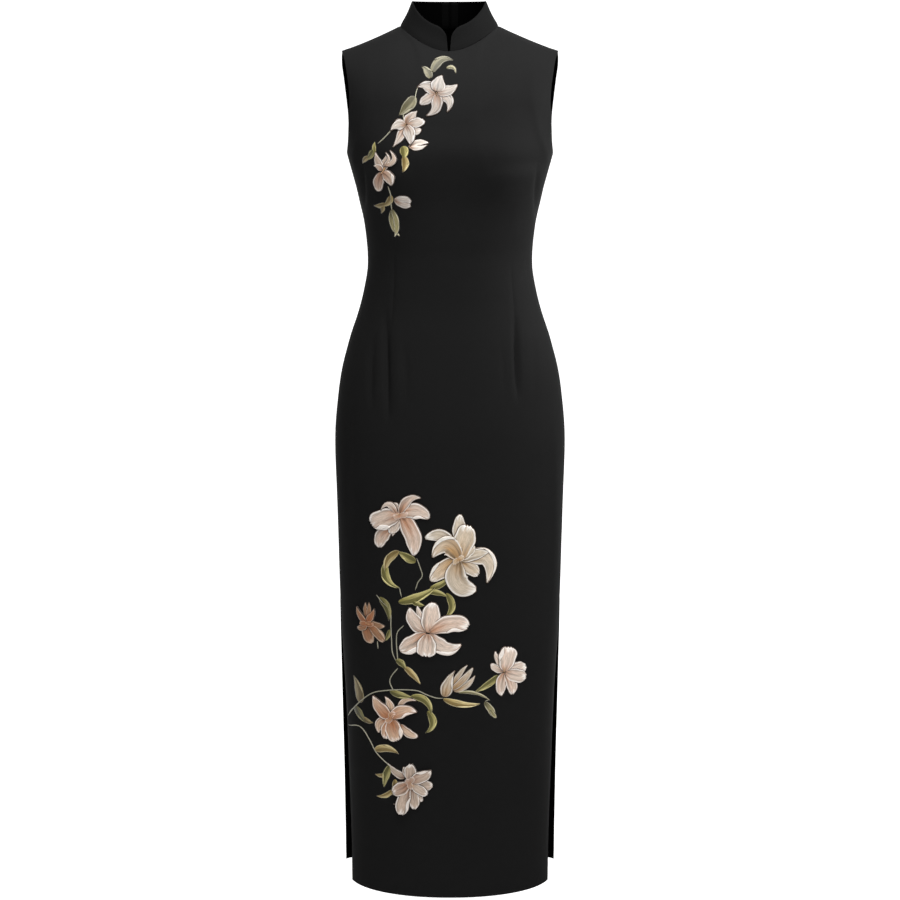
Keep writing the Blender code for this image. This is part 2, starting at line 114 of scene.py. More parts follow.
# The armhole's edge: share of the height from underarm to shoulder tip, and half widths there.
Armhole = namedtuple("Armhole", "share front_x back_x")
ARMHOLE = (
    Armhole(0.00, 148.4, 148.4),
    Armhole(0.13, 145.2, 147.6),
    Armhole(0.33, 143.4, 148.2),
    Armhole(0.53, 141.8, 151.0),
    Armhole(0.72, 144.8, 154.0),
    Armhole(0.90, 149.3, 156.4),
    Armhole(1.00, SHOULDER_HALF, SHOULDER_HALF),
)

# Mandarin collar, in millimetres
RIM_HALF = 52.8
RIM_FRONT = 60.0
RIM_BACK = 46.0
RIM_Z = 35.5
RIM_FALL = 38.0
RIM_FALL_POWER = 1.4
COLLAR_NOTCH = 1.6
NOTCH_FLARE = 3.0
COLLAR_CORNER = 14.0

# Coarse grid, the frame's own
NECK_STEPS = 7
SHOULDER_STEPS = 7
COLUMNS = NECK_STEPS + SHOULDER_STEPS
ARMHOLE_STEPS = 12
SECTION_POINTS = 300
EASED_ROWS = 5
EASED_COLUMNS = 3
EASED_TOP_ROW = 0.7  # share of the easing that the row next to the neck seam gets
CORNER_CELLS = 2.0
EASING_PASSES = 6
CLIMB_POWER = 1.5  # how late in the climb the columns move to their places at the top
Run = namedtuple("Run", "low high steps")
RUNS = (Run(HEM_Z, -700.0, 10), Run(-700.0, UNDERARM_Z, 22))
BUST_OUT = 6.0
BUST_X = 78.0
BUST_Z = -202.0
BUST_WIDE = 42.0
BUST_HIGH = 48.0

# ---------------------------------------------------------------- what sewing and wear leave in the cloth

# A fold, in millimetres of the front or back view: its line runs through three points, it lets the cloth in
# by its depth (a negative depth stands proud), and it is soft over its width.
Fold = namedtuple("Fold", "top_x top_z mid_x mid_z end_x end_z depth width")
FRONT_DARTS = (
    Fold(-79, -290, -81, -380, -88, -450, 0.9, 4.0),
    Fold(-92, -398, -91, -468, -88, -560, 4.8, 5.4),
    Fold(84, -322, 90, -380, 94, -440, 0.6, 4.0),
    Fold(94, -405, 95, -458, 97, -528, 4.2, 4.6),
    Fold(-124, -186, -124, -222, -127, -266, 2.2, 4.0),
    Fold(125, -186, 124, -226, 127, -280, 2.2, 4.0),
)
BACK_DARTS = tuple(Fold(hand * 70, -292, hand * 82, -430, hand * 80, -548, 1.2, 8.0) for hand in (-1, 1))
FRONT_FOLDS = (
    Fold(-109, -430, -113, -485, -112, -545, 2.4, 5.0),
    Fold(-66, -445, -62, -488, -63, -530, 1.4, 4.5),
    Fold(-76, -420, -75, -480, -76, -550, -1.0, 5.0),
    Fold(-143, -530, -147, -610, -146, -720, 2.0, 7.0),
    Fold(118, -425, 121, -470, 120, -530, 0.6, 5.0),
    Fold(73, -440, 76, -480, 78, -520, 0.5, 4.0),
    Fold(150, -540, 154, -680, 150, -900, -1.8, 7.0),
    Fold(-3, -62, -4, -70, -4, -80, 1.1, 3.0),
    Fold(-96, -232, -92, -262, -84, -300, -0.5, 9.0),
    Fold(98, -236, 95, -264, 90, -300, -0.5, 9.0),
)
BACK_FOLDS = (
    Fold(-108, -412, -112, -470, -109, -530, 0.7, 5.0),
    Fold(106, -405, 110, -452, 108, -516, 0.8, 4.5),
    Fold(-58, -330, -34, -352, -12, -366, 0.6, 9.0),
    Fold(60, -322, 36, -346, 10, -358, 0.7, 8.0),
    Fold(146, -560, 150, -640, 147, -720, 0.8, 6.0),
)

# A swell of the front, in millimetres of the front view: it stands out round its middle, or in when negative.
Swell = namedtuple("Swell", "x z out wide high")
FRONT_SWELLS = (
    Swell(0, -172, 3.0, 122, 24),
    Swell(0, -248, -5.0, 122, 42),
    Swell(0, -322, 1.4, 90, 20),
    Swell(0, -338, 2.6, 90, 36),
)

# Finer reading of the coarse grid: shares of a cell next to an edge, and steps in a cell elsewhere
EDGE_SHARES = (0.02, 0.06, 0.12, 0.2, 0.33)
EVEN_FROM = 1.3 * EDGE_SHARES[-1]  # even steps begin this far from an edge
SKIRT_CELL_STEPS = 4
BODY_CELL_STEPS = 3
PANEL_CELL_STEPS = 7
DART_CELLS = (5.4, 8.1)  # cells of a half panel that the waist darts run through
DART_STEP = 0.055
DEEP_DART = 2.4  # a dart this deep, in millimetres, shows its whole stitched line
FOLD_TAPER = 0.8  # how bluntly a fold ends, less being blunter
FOLD_STOP = 5.0  # how close to the side seam folds run out

TURNED_STEP = 0.25  # how far a turned edge stands proud, in millimetres
TURNED_SOFT = 1.1
SEAM_FADE = 8.0  # height over which the side seam's crease fades at both its ends
ARMHOLE_FACING = 9.0
SLIT_TURNING = 12.0
HEM_TURNING = 32.0
FACING_FADE_Z = 40.0  # height over which turnings begin, past the side seam's ends
HANG_SHIFT = 1.5  # how far the neck hangs to the wearer's right
HANG_HALF = 95.0
HANG_LOW, HANG_HIGH = -95.0, -35.0  # between these heights and depths the shift comes in
HANG_BACK, HANG_FRONT = 30.0, -10.0
CORNER_EASE = 3.0  # how far the back's hem eases up at the slits
CORNER_REACH = 14.0
CORNER_HIGH = 70.0
ROLL_SEGMENTS = 2
ROLL_ANGLE = 50  # edges sharper than this are rolled, in degrees

# Collar in the fine model
COLLAR_ROWS = 12
COLLAR_HOLLOW = 1.4  # how far the stand is hollow at half its height, in millimetres
COLLAR_ROLL = 0.8  # how far its top edge rolls inwards, over the height below
COLLAR_ROLL_HIGH = 2.6
NOTCH_FLARE_REACH = 9.0  # over which the rim opens at the notch
NOTCH_COLUMN_CLEAR = 1.4  # the first column kept stands this many times as far out as the notch
NECK_GAP = 0.05  # between collar and panels, which are pressed together
NECK_LET_IN = 0.9  # how far their seam draws both in, softly
NECK_SOFT = 3.2
COLLAR_EDGE_LINE = 3.4  # distance of the pressed line from the top edge
COLLAR_LINE_DEPTH = 0.22
COLLAR_LINE_SOFT = 0.7

# Zip, in millimetres
ZIP_END_Z = -468.0
ZIP_TAPE_THICK = 0.5
ZIP_TAPE_INSET = 1.3
ZIP_TAPE_GAP = 0.02
ZIP_TAPE_COLUMNS = 7
ZIP_TAPE_CURL = 0.9  # how far the tape's free edge curls inwards
ZIP_COLLAR_SHARES = (0.12, 0.99, 7)  # of the collar's height: from, to and in how many points
ZIP_PITCH = 1.6
ZIP_COIL_Y = -1.2
ZIP_CORD_HALF = 0.5
TOOTH_HALF = (0.95, 0.45, 0.3)
TOOTH_ASIDE = 0.75  # how far the teeth stand to the left and right in turn

# ---------------------------------------------------------------- embroidery, in the front view's millimetres

# A petal runs to its tip x, z as measured from the blossom's heart, from its start as a share of the way.
# Point is how sharply it ends and tone the depth of its dye. Bow is its sideways curve by its length and hook
# the turn of its tip, both to the left of the way out when positive. Lap is the side that is turned over.
Petal = namedtuple("Petal", "x z width point tone bow hook lap start", defaults=(0, 0, 0, 0.05))
# A blossom's heart is at x, z. Its petals are worked in their order, each over the one before. Gain is how
# light its silk is: partly its own tone, and partly painted shade that darkens the blossoms and leaves
# nearest the neck, where the overhead light falls strongest. Knots and ruffles are how many of them it has at
# its heart.
Blossom = namedtuple("Blossom", "x z silk gain knots ruffles petals")
# A leaf runs from x, z to its tip, and bends as a petal does. Its gain holds painted shade as a blossom's
# does.
Leaf = namedtuple("Leaf", "x z tip_x tip_z width bow gain silk hook", defaults=("leaf_olive", 0))
Spray = namedtuple("Spray", "name blossoms leaves stems")

# Painted shade: the lower gains near the neck darken the silk against the overhead light there
CHEST_BLOSSOMS = (
    Blossom(-19, -93, "pearl", 0.40, 1, 0, (
        Petal(-23, -15, 13, 0.61, 0.25), Petal(-26, 8, 16, 1.16, 0.15, -0.16, 0.08, lap=-1),
        Petal(15, -26, 13, 0.94, 0.1, 0.25, -0.22, lap=1), Petal(-14, -31, 15, 1.16, 0.3, 0.2, -0.1),
        Petal(29, 11, 14, 0.94, 0.2, -0.08, 0.05), Petal(8, 23, 20, 1.05, 0, hook=-0.1),
    )),
    Blossom(-61, -137, "pearl", 0.57, 1, 0, (
        Petal(-14, 7, 11, 0.5, 0.05, 0.1), Petal(15, 19, 15, 1.16, 0.5, 0.05),
        Petal(21, -6, 15, 0.72, 0.3, -0.12, 0.1), Petal(-18, -30, 12, 1.38, 0.4, 0.05, start=0.1),
        Petal(24, 7, 13, 0.4, 0.35, hook=0.1, start=0.1), Petal(-21, -8, 14, 1.38, 0.05, -0.15, 0.05),
        Petal(6, -27, 16, 0.94, 0.1, 0.1, lap=1),
    )),
    Blossom(-94, -202, "rose", 0.88, 1, 0, (
        Petal(5, 23, 10, 1.16, 0.2), Petal(-10, 27, 11, 1.16, 0.3, 0.05),
        Petal(-12, 8, 8, 0.94, 0.5, -0.2, start=0.1), Petal(-4, -27, 14, 0.5, 0.85, -0.12, 0.05),
        Petal(5, 27, 5, 1.16, 0, -0.25, 0.1, start=0.3),
        Petal(11, 30, 6.5, 0.94, 0.05, -0.38, 0.1, start=0.3),
        Petal(12, -18, 14, 0.72, 0.45, 0.15, -0.05, lap=1),
    )),
    Blossom(-57, -168, "pearl", 0.84, 0, 0, (
        Petal(27, 7, 9, 0.94, 0.25, 0.12, start=0), Petal(25, 4, 6, 1.16, 0, -0.1, start=0.1),
    )),
    Blossom(-78, -241, "pearl", 0.64, 0, 0, (
        Petal(22, -7, 10, 0.35, 0.35, -0.1, start=0), Petal(23, -2, 8, 0.35, 0.05, 0.1, start=0),
    )),
    Blossom(-82, -255, "leaf_pale", 0.94, 0, 0, (
        Petal(11, -38, 6, 0.72, 0.3, -0.12, 0.05, start=0),
        Petal(4, -39, 7, 0.72, 0, 0.1, -0.05, start=0),
    )),
)
CHEST_LEAVES = (
    Leaf(-25, -65, 4, -48, 11, 0.18, 0.32, "leaf_pale", -0.15),
    Leaf(-5, -59, 8, -66, 4.5, 0.3, 0.6, "leaf_pale", -0.1),
    Leaf(-27, -73, -39, -57, 10, -0.08, 0.35, "leaf_pale", 0.05),
    Leaf(-48, -98, -71, -124, 15, 0.02, 0.38, "leaf_pale"), Leaf(-66, -166, -65, -183, 12, 0.12, 0.95),
    Leaf(-65, -180, -66, -202, 10, 0.18, 1.0, "leaf_gold", 0.05),
    Leaf(-105, -175, -105, -161, 5, 0.1, 1.1), Leaf(-107, -171, -118, -186, 8, 0.1, 0.62),
    Leaf(-114, -182, -123, -191, 6.5, -0.1, 0.62, "leaf_gold"),
    Leaf(-83, -235, -94, -251, 8.5, 0.2, 0.65, "leaf_gold", 0.1),
    Leaf(-91, -247, -107, -251, 7, 0.15, 0.55, "leaf_gold", 0.1),
    Leaf(-95, -250, -97, -261, 5.5, 0.1, 0.5, "leaf_gold"),
)
CHEST_STEMS = (
    ((-45, -85), (-48, -96), (-48, -107)),
    ((-64, -119), (-65, -126), (-63, -134)),
    ((-82, -144), (-91, -154), (-101, -163)),
    ((-87, -222), (-83, -236), (-83, -246), (-82, -256)),
)
CHEST = Spray("chest", CHEST_BLOSSOMS, CHEST_LEAVES, CHEST_STEMS)

SKIRT_BLOSSOMS = (
    Blossom(-71, -690, "blush", 0.79, 1, 2, (
        Petal(-12, -34, 10, 0.94, 0.1, start=0.1),
        Petal(-31, -52, 19, 0.45, 0.55, -0.08, 0.12, start=0.4), Petal(-14, 12, 16, 0.4, 0.3, start=0),
        Petal(-14, -30, 16, 0.45, 0.05, start=0), Petal(18, -61, 25, 0.62, 0.5, 0.08, -0.08, start=0.02),
        Petal(41, -6, 22, 0.62, 0.25, 0.14, -0.1, lap=-1, start=0),
        Petal(29, 24, 13, 0.9, 0.4, 0.12, -0.2, start=0),
        Petal(-41, -19, 29, 0.36, 0.35, hook=0.05, lap=1, start=0),
        Petal(-28, 3, 9, 1.16, 0, -0.34, 0.28, start=0.2),
    )),
    Blossom(13, -756, "cream", 0.82, 2, 2, (
        Petal(2, 66, 19, 0.6, 0.05, hook=-0.05, start=0.3),
        Petal(-41, -32, 24, 0.6, 0.75, -0.05, lap=-1, start=0.02),
        Petal(-49, 31, 20, 0.55, 0.0, -0.24, 0.16, start=0.15), Petal(28, -22, 19, 0.4, 0.45, start=0),
        Petal(40, -36, 24, 0.8, 0.25, 0.42, -0.2, lap=1, start=0.02),
        Petal(25, -44, 32, 0.5, 0.3, -0.26, 0.2, start=0), Petal(42, 10, 17, 0.8, 0.1, 0.05, start=0),
        Petal(22, 20, 18, 0.5, 0.4, 0.05, start=0), Petal(13, 50, 30, 0.36, 0.5, start=0),
        Petal(-38, 3, 28, 0.8, 0.7, -0.42, 0.2, lap=-1, start=0),
    )),
    Blossom(-32, -865, "blush", 0.90, 0, 0, (
        Petal(49, 22, 7, 0.94, 0.5, 0.2, start=0.72), Petal(-15, 39, 9, 0.72, 0, 0.05, start=0.2),
        Petal(-26, 36, 21, 0.72, 0.15, 0.15), Petal(-41, -28, 25, 0.5, 0.4, 0.05, lap=1),
        Petal(48, -17, 22, 0.72, 0.1, -0.18, 0.2, lap=-1), Petal(8, 45, 26, 0.5, 0.2, start=0),
        Petal(58, 9, 25, 0.35, 0.45, 0.1, -0.12, lap=-1), Petal(-3, -35, 28, 0.3, 0.15),
    )),
    Blossom(-121, -858, "peach", 0.80, 1, 2, (
        Petal(-2, 30, 6, 0.94, 0, 0.05, start=0.3), Petal(3, 31, 6, 0.94, 0.1, -0.05, start=0.3),
        Petal(7, -29, 16, 0.45, 0.7, -0.1), Petal(26, -1, 10, 0.72, 0.15, hook=0.1),
        Petal(25, -24, 13, 0.4, 0.25, 0.05, lap=1, start=0.1), Petal(11, 23, 9, 1.16, 1, hook=0.1),
        Petal(-13, -9, 9, 0.5, 0.5, 0.2), Petal(-14, 22, 8, 1.16, 0.6, 0.1),
    )),
    Blossom(79, -926, "blush", 0.85, 1, 0, (
        Petal(-13, 31, 8, 0.72, 0, hook=-0.1, start=0.1), Petal(-19, 13, 10, 0.5, 0.05, 0.1),
        Petal(31, 5, 20, 0.4, 0.05, hook=0.05), Petal(-4, -36, 16, 0.72, 0.35, -0.05, 0.05),
        Petal(12, -35, 15, 0.45, 0.5, 0.1), Petal(31, -11, 20, 0.4, 0.1, -0.05),
        Petal(7, 36, 25, 0.3, 0.15, lap=1, start=0),
    )),
    Blossom(-86, -997, "apricot", 0.88, 1, 2, (
        Petal(37, 29, 7, 0.94, 0, 0.3, start=0.3), Petal(-9, 31, 12, 0.94, 0.1, -0.1, 0.05, start=0.1),
        Petal(39, -24, 12, 0.5, 0, -0.1, 0.1, start=0.35), Petal(-18, -25, 13, 0.72, 0.4, -0.2, 0.1),
        Petal(-9, -32, 15, 0.45, 0.85, -0.05, start=0.1),
        Petal(9, -33, 25, 0.35, 0.8, hook=0.05, lap=1, start=0),
        Petal(-26, 30, 19, 0.94, 0.75, 0.08, start=0),
        Petal(38, 12, 18, 0.83, 0.5, 0.12, -0.1, lap=-1, start=0),
    )),
    Blossom(-58, -1092, "rose", 0.87, 1, 3, (
        Petal(-33, 25, 11, 1.16, 0, 0.1, start=0.25), Petal(-10, 22, 10, 0.72, 0.05, start=0.2),
        Petal(-25, -36, 5, 0.94, 0, 0.3, -0.2, start=0.35), Petal(32, -4, 16, 0.4, 0.2, hook=0.05),
        Petal(17, -28, 11, 0.5, 0.1, start=0.1), Petal(6, -40, 15, 0.4, 0.3, 0.05, start=0.1),
        Petal(0, 27, 17, 0.45, 0.25), Petal(25, -16, 14, 0.4, 0.1, -0.05),
        Petal(30, 20, 17, 0.72, 0.4, 0.05, 0.2, lap=1),
        Petal(-13, -50, 19, 0.35, 0.35, -0.05, lap=1, start=0.1), Petal(-25, -17, 19, 0.4, 0.85, 0.05),
    )),
    Blossom(-8, -961, "cream", 0.72, 0, 0, (
        Petal(44, 31, 9, 0.9, 0.4, -0.12, start=0.3), Petal(33, 47, 7, 0.9, 0.3, 0.05, start=0.4),
        Petal(41, 43, 10, 0.7, 0.6, -0.05, start=0.25),
        Petal(15, 39, 17, 1.3, 0.35, 0.02, -0.08, lap=-1, start=0),
    )),
    Blossom(50, -970, "leaf_pale", 0.9, 0, 0, (
        Petal(15, -24, 9, 0.5, 0.4, 0.05, start=0), Petal(17, -25, 5, 0.5, 0, start=0.5),
    )),
)
SKIRT_LEAVES = (
    Leaf(-49, -760, -74, -746, 12, 0.05, 0.9),
    Leaf(-73, -746, -93, -780, 11, -0.15, 0.8, "leaf_gold", 0.05),
    Leaf(-93, -765, -73, -800, 12, -0.2, 1.05, hook=0.1),
    Leaf(-75, -822, -20, -795, 12.5, -0.05, 1.1, hook=0.05), Leaf(-29, -799, 0, -781, 9, -0.1, 1.0),
    Leaf(-33, -805, -3, -812, 8, 0.1, 1.0), Leaf(-6, -806, -9, -844, 10, 0.25, 1.0, hook=-0.05),
    Leaf(-56, -816, -37, -825, 8, -0.1, 0.95), Leaf(-103, -817, -89, -851, 10.5, 0.15, 0.6),
    Leaf(-88, -864, -96, -882, 6, 0.1, 0.75), Leaf(-79, -909, -65, -922, 9.5, 0.15, 0.8),
    Leaf(-67, -918, -43, -943, 9, 0.05, 1.0, "leaf_gold"), Leaf(-88, -956, -55, -963, 10, -0.05, 0.85),
    Leaf(-57, -962, -28, -990, 11, 0.25, 1.0, hook=-0.05),
    Leaf(-33, -983, -36, -1016, 11, 0.25, 1.05, hook=-0.1),
    Leaf(-133, -983, -142, -944, 12.5, -0.08, 0.46, "leaf_gold"),
    Leaf(-139, -990, -124, -1011, 11, -0.05, 0.38),
    Leaf(-128, -1004, -113, -1009, 7, -0.1, 0.5, "leaf_gold"),
    Leaf(-111, -1051, -75, -1051, 11, 0.16, 0.9, "leaf_gold", -0.05),
    Leaf(-88, -1070, -97, -1104, 10, -0.05, 0.8), Leaf(-94, -1085, -110, -1087, 6, 0.1, 0.8, "leaf_gold"),
    Leaf(-81, -1090, -87, -1115, 8, 0.1, 0.85, "leaf_gold"),
    Leaf(-85, -1107, -108, -1120, 7, 0.14, 0.95, "leaf_gold"), Leaf(71, -931, 36, -954, 9.5, 0.05, 0.9),
    Leaf(-10, -964, 44, -972, 10, -0.06, 1.05, "leaf_gold", 0.04),
    Leaf(12, -955, 58, -968, 4.5, 0.12, 0.9, "leaf_pale"),
)
SKIRT_STEMS = (
    (
        (-152, -1012), (-145, -998), (-130, -978), (-113, -963), (-91, -956), (-70, -953), (-48, -953),
        (-35, -958), (-20, -963), (-7, -963),
    ),
    (
        (-151.5, -1027), (-139, -1020), (-129, -1022), (-118, -1037), (-111, -1050), (-103, -1059),
        (-88, -1071), (-70, -1085),
    ),
    ((-48, -755), (-43, -769), (-40, -781), (-46, -790), (-50, -802)),
    (
        (-107, -814), (-100, -822), (-91, -830), (-86, -840), (-86, -857), (-85, -879), (-84, -897),
        (-79, -910),
    ),
    ((-67, -856), (-76, -866), (-78, -879), (-77, -897), (-76, -910)),
    ((-76, -921), (-85, -933), (-88, -943), (-83, -955)),
    ((-73, -800), (-72, -806), (-70, -814)),
    ((-106, -883), (-105, -895)),
    ((41, -955), (35, -958)),
    ((57, -967), (51, -969)),
)
SKIRT = Spray("skirt", SKIRT_BLOSSOMS, SKIRT_LEAVES, SKIRT_STEMS)

# Silks: thread colours at the heart or root, in the body and at the edge, and the colour of the painted
# shadow round each petal or leaf. The hex values are sRGB.
Silk = namedtuple("Silk", "heart body edge outline")
SILKS = {
    "cream": Silk("#cba06b", "#e5d6c1", "#fffaf3", "#56422f"),
    "pearl": Silk("#cb9a78", "#e6dcd1", "#fffaf6", "#4d3d31"),
    "blush": Silk("#cb9470", "#e8d5c5", "#fff8f1", "#543f31"),
    "rose": Silk("#a87d63", "#cbb7a5", "#f5eee7", "#463529"),
    "apricot": Silk("#b9764a", "#e0c3a8", "#fff5ec", "#4a3222"),
    "peach": Silk("#b06a3e", "#a37b5a", "#d9bfa6", "#332114"),
    "leaf_olive": Silk("#3c3a14", "#80783a", "#d6cc8f", "#19170a"),
    "leaf_gold": Silk("#5c481f", "#a38c52", "#e6d8a8", "#21190c"),
    "leaf_pale": Silk("#4f4a2c", "#9f966a", "#ece5c8", "#2a2618"),
    "stamen": Silk("#a9763f", "#c0935c", "#d9b58c", "#5a3f22"),
    "stem": Silk("#6c6a58", "#84816e", "#a09d8a", "#2c2a20"),
}

# Petals and leaves: rows and columns of the grid, the shares of the length that it spans, and how full it is
# towards its root
BLADE_ROWS = 22
BLADE_COLUMNS = 15
BLADE_ENDS = (0.01, 0.992)
ROOT_POWER = 0.55
EDGE_WAVES = (13, 15)  # how fast the right and the left edge waver, in radians by the length
FRILL = 1.1  # how far the ends of blunt petals are scalloped, in millimetres
FRILLED_POINT = 0.45
SCALLOPS = 8
EDGE_SHARE = 0.84  # share of a petal's half width past which its edge is worked pale
GROOVE_WIDE = 0.12  # half width of the groove along the middle, as a share
CROWN_FLAT = 2.2  # how flat a petal's middle is, and how bluntly crown and groove end
CROWN_BLUNT, GROOVE_BLUNT = 0.45, 0.5
PETAL_RUFFLE = 0.05  # share by which a petal's edges waver
LEAF_RUFFLE = 0.04
LEAF_POINT = 0.95

# Threads of a petal, as shares: how unevenly they start, how deep the dye is at the heart, by the tone and in
# streaks, how far it reaches at least, and how much it fades to the sides
THREAD_START = 0.10
DYE, DYE_BY_TONE, DYE_STREAK = 0.80, 0.42, 0.30
DYE_REACH, DYE_FADE = 0.30, 0.45
# How dark the streaks, the line beside the edge, the vein and the root are, and where they lie
DARK_STREAK, DARK_LINE, DARK_VEIN, DARK_ROOT = 0.45, 0.22, 0.30, 0.25
LINE_AT, LINE_WIDE, VEIN_WIDE, ROOT_REACH = 0.70, 0.12, 0.14, 0.2

# Threads of a leaf, as shares: how much of the body's colour it has at least, on its lit half and towards its
# tip; how fast it turns from dark to lit; and how strong the lit half, the vein and the pale rim are
LEAF_BODY = (0.25, 0.65, 0.25)
LEAF_TURN = 1.8
LEAF_LIT, LEAF_VEIN, LEAF_RIM = 0.35, 0.75, 0.7
LEAF_VEIN_WIDE = 0.16

# Turned-over edges
LAP_COLUMNS = 5
LAP_CROWN = 0.6  # share of the crown's height that they lie on
LAP_OVER_EDGE = 1.03  # share of the petal's half width that they reach to
LAP_SHADOW_LIFT = 0.02
LAP_LIFT = 0.15
LAP_SWELL = 0.25
LAP_TAPER = 0.8  # how bluntly the crescent ends
LAP_SHADE, LAP_FADE = 0.35, 0.45  # how much of the heart is in its shadow, and of the body in its edge
LAPPED_LEAF = 9  # leaves wider than this turn one edge over
LEAF_LAP = (0.38, 0.45)  # where a leaf's turned edge starts, and how far it opens

# Strands, knots and the small ruffle at a heart, in millimetres
KNOT_SIZE = 2.2
KNOT_HIGH = 0.8
KNOT_GAIN = 0.7
KNOT_COLUMNS = 7
STAMEN_LENGTH = 9.0
STAMEN_STEP = 1.5
HEART_SPREAD = 1.5  # how far from the heart the knots lie
RUFFLE_LENGTH = 8.5
RUFFLE_WIDTH = 8.0
RUFFLE_BEHIND = 0.2  # share of its length that a ruffle starts behind the heart
RUFFLE_CURVE = (0.4, 0.08)  # how sharply it ends, and how much it wavers
RUFFLE_TONE = 0.6
RUFFLE_DYE = 0.35  # how much of the heart's colour it takes all over
TUBE_SIDES = 8
STRAND_TIP = 0.35  # share of its radius that a strand has at its ends
STRAND_SWELL = 9.0  # how fast it thickens from there, in radii by its length
STRAND_HIGH = 1.1  # its height by its radius
STEM_STEP = 3.0
STEM_STITCH = 3.0
STEM_STRAND = 0.8
STEM_TWIST = 0.5
SHADOW_RIM_SUNK = 0.1  # how far the painted shadow rim lies below the petal's edge
SUNK = 0.12  # how far the underside of the stitching lies inside the cloth's face

CREPE_GRAIN = 1.5 * MM
CREPE_SHINE = 0.012
INSIDE_SHADE = 0.15  # painted shade: share of the crepe's colour that its inner skin keeps, as the shade inside the dress
LUSTRE_PATCH = 60 * MM
SILK_STRAND = 0.85 * MM
SILK_STITCH = 9 * MM
TAPE_RIB = 6 * MM
ENAMEL_PEEL = 0.9 * MM
PAPER_GRAIN = 40.0  # grains in a metre

# ---------------------------------------------------------------- shared arithmetic


def smooth(share):
    """A step from 0 to 1 that starts and ends gently."""
    return share * share * (3 - 2 * share)


def ease(value):
    """As smooth, but level before 0 and after 1."""
    return smooth(np.clip(value, 0, 1))


def bell(distance, width):
    """What is left at a distance: all of it at none, and little past the width."""
    return np.exp(-((distance / width) ** 2))


def mix(first, second, share):
    """Colours between the first and the second, by the share of each point."""
    share = np.asarray(share)[..., None]
    return first * (1 - share) + second * share


def unit(vectors):
    return vectors / np.linalg.norm(vectors, axis=-1, keepdims=True)


def lengths_along(line):
    """Distance of each point of a line from its start."""
    return np.concatenate([[0], np.cumsum(np.linalg.norm(np.diff(line, axis=0), axis=1))])


def hermite(share, low, high, low_slope, high_slope):
    """Place at a share of the way from low to high, on a curve with the given slopes there."""
    keep = smooth(share)
    ends = low_slope * share * (1 - share) ** 2 + high_slope * share * share * (share - 1)
    return low * (1 - keep) + high * keep + ends


def spline(a, b, c, d, share):
    """Place at a share of the way from b to c, on a curve through all four."""
    bend = share**2 * (a - 2.5 * b + 2 * c - d / 2) + share**3 * (1.5 * (b - c) + (d - a) / 2)
    return b + share * (c - a) / 2 + bend


def linear(code):
    """Linear colour of an sRGB hex value."""
    parts = np.array([int(code[i : i + 2], 16) for i in (1, 3, 5)]) / 255
    return np.where(parts <= 0.04045, parts / 12.92, ((parts + 0.055) / 1.055) ** 2.4)


def size(name, description, millimetres):
    limits = {"min": 0, "precision": 5, "unit": "LENGTH"}
    return FloatProperty(name=name, description=description, default=millimetres * MM, **limits)


def power(name, description, watts):
    return FloatProperty(name=name, description=description, default=watts, min=0, unit="POWER")


def colour(name, description, code):
    limits = {"min": 0, "max": 1, "size": 3, "subtype": "COLOR"}
    return FloatVectorProperty(name=name, description=description, default=tuple(linear(code)), **limits)


class ClothSizes(bpy.types.PropertyGroup):
    panel_wall: size("Panel cloth", "Thickness of a panel, with its turned layers", 1.2)
    collar_wall: size("Collar cloth", "Thickness of the interfaced collar", 1.7)
    panel_edge: size("Panel edge", "Rounding of a panel's edges", 0.45)
    collar_edge: size("Collar edge", "Rounding of the collar's edges", 0.6)
    seam_let_in: size("Seam", "How far a seam draws the cloth in", 0.45)
    seam_soft: size("Seam softness", "Distance over which a seam draws the cloth in", 1.8)
    dart_line: size("Dart line", "Depth of the crease along a dart's stitching", 1.1)
    dart_line_soft: size("Dart line softness", "Half width of that crease", 1.6)
    zip_tape: size("Zip tape", "Width of each tape of the zip", 12)


class StitchSizes(bpy.types.PropertyGroup):
    lift: size("Padding", "Height of the lowest petals' edges over the cloth", 0.25)
    layer: size("Layer", "Height between one petal and the next over it", 0.32)
    crown: size("Petal crown", "How far a petal rises between its edges", 0.38)
    leaf_crown: size("Leaf crown", "How far a leaf rises between its edges", 0.6)
    vein: size("Vein", "Depth of the groove along the middle of a petal or leaf", 0.22)
    # Painted shadow: a dark rim under each petal and leaf shows round its edge as the shade it casts
    outline: size("Outline", "Width of the dark thread that shows round a petal", 0.8)
    stem: size("Stem", "Radius of a stem", 0.72)
    stamen: size("Stamen", "Radius of a stamen", 0.35)


class CheongsamColours(bpy.types.PropertyGroup):
    crepe: colour("Crepe", "Black crepe of the panels", "#171717")
    collar: colour("Collar crepe", "Interfaced crepe of the collar", "#101010")
    tape: colour("Zip tape", "Woven tape of the zip", "#040404")
    enamel: colour("Enamel", "Enamel of the zip's slider and pull", "#101011")
    sweep: colour("Sweep", "Paper of the floor and backdrop", "#fcfcfc")


class StageSizes(bpy.types.PropertyGroup):
    floor_z: FloatProperty(name="Floor", description="Height of the floor", default=-1.42, unit="LENGTH")
    surround: FloatProperty(name="Surround", description="Brightness of the white room", default=0.23, min=0)
    glow: FloatProperty(name="Backdrop", description="Light that comes through the paper", default=0.8, min=0)
    overhead: power("Overhead", "Softbox overhead", 32)
    front: power("Front", "Softbox before the dress", 24.5)
    left: power("Left strip", "Strip light on the left", 0.5)
    right: power("Right strip", "Strip light on the right", 6)


# ---------------------------------------------------------------- the form of the panels


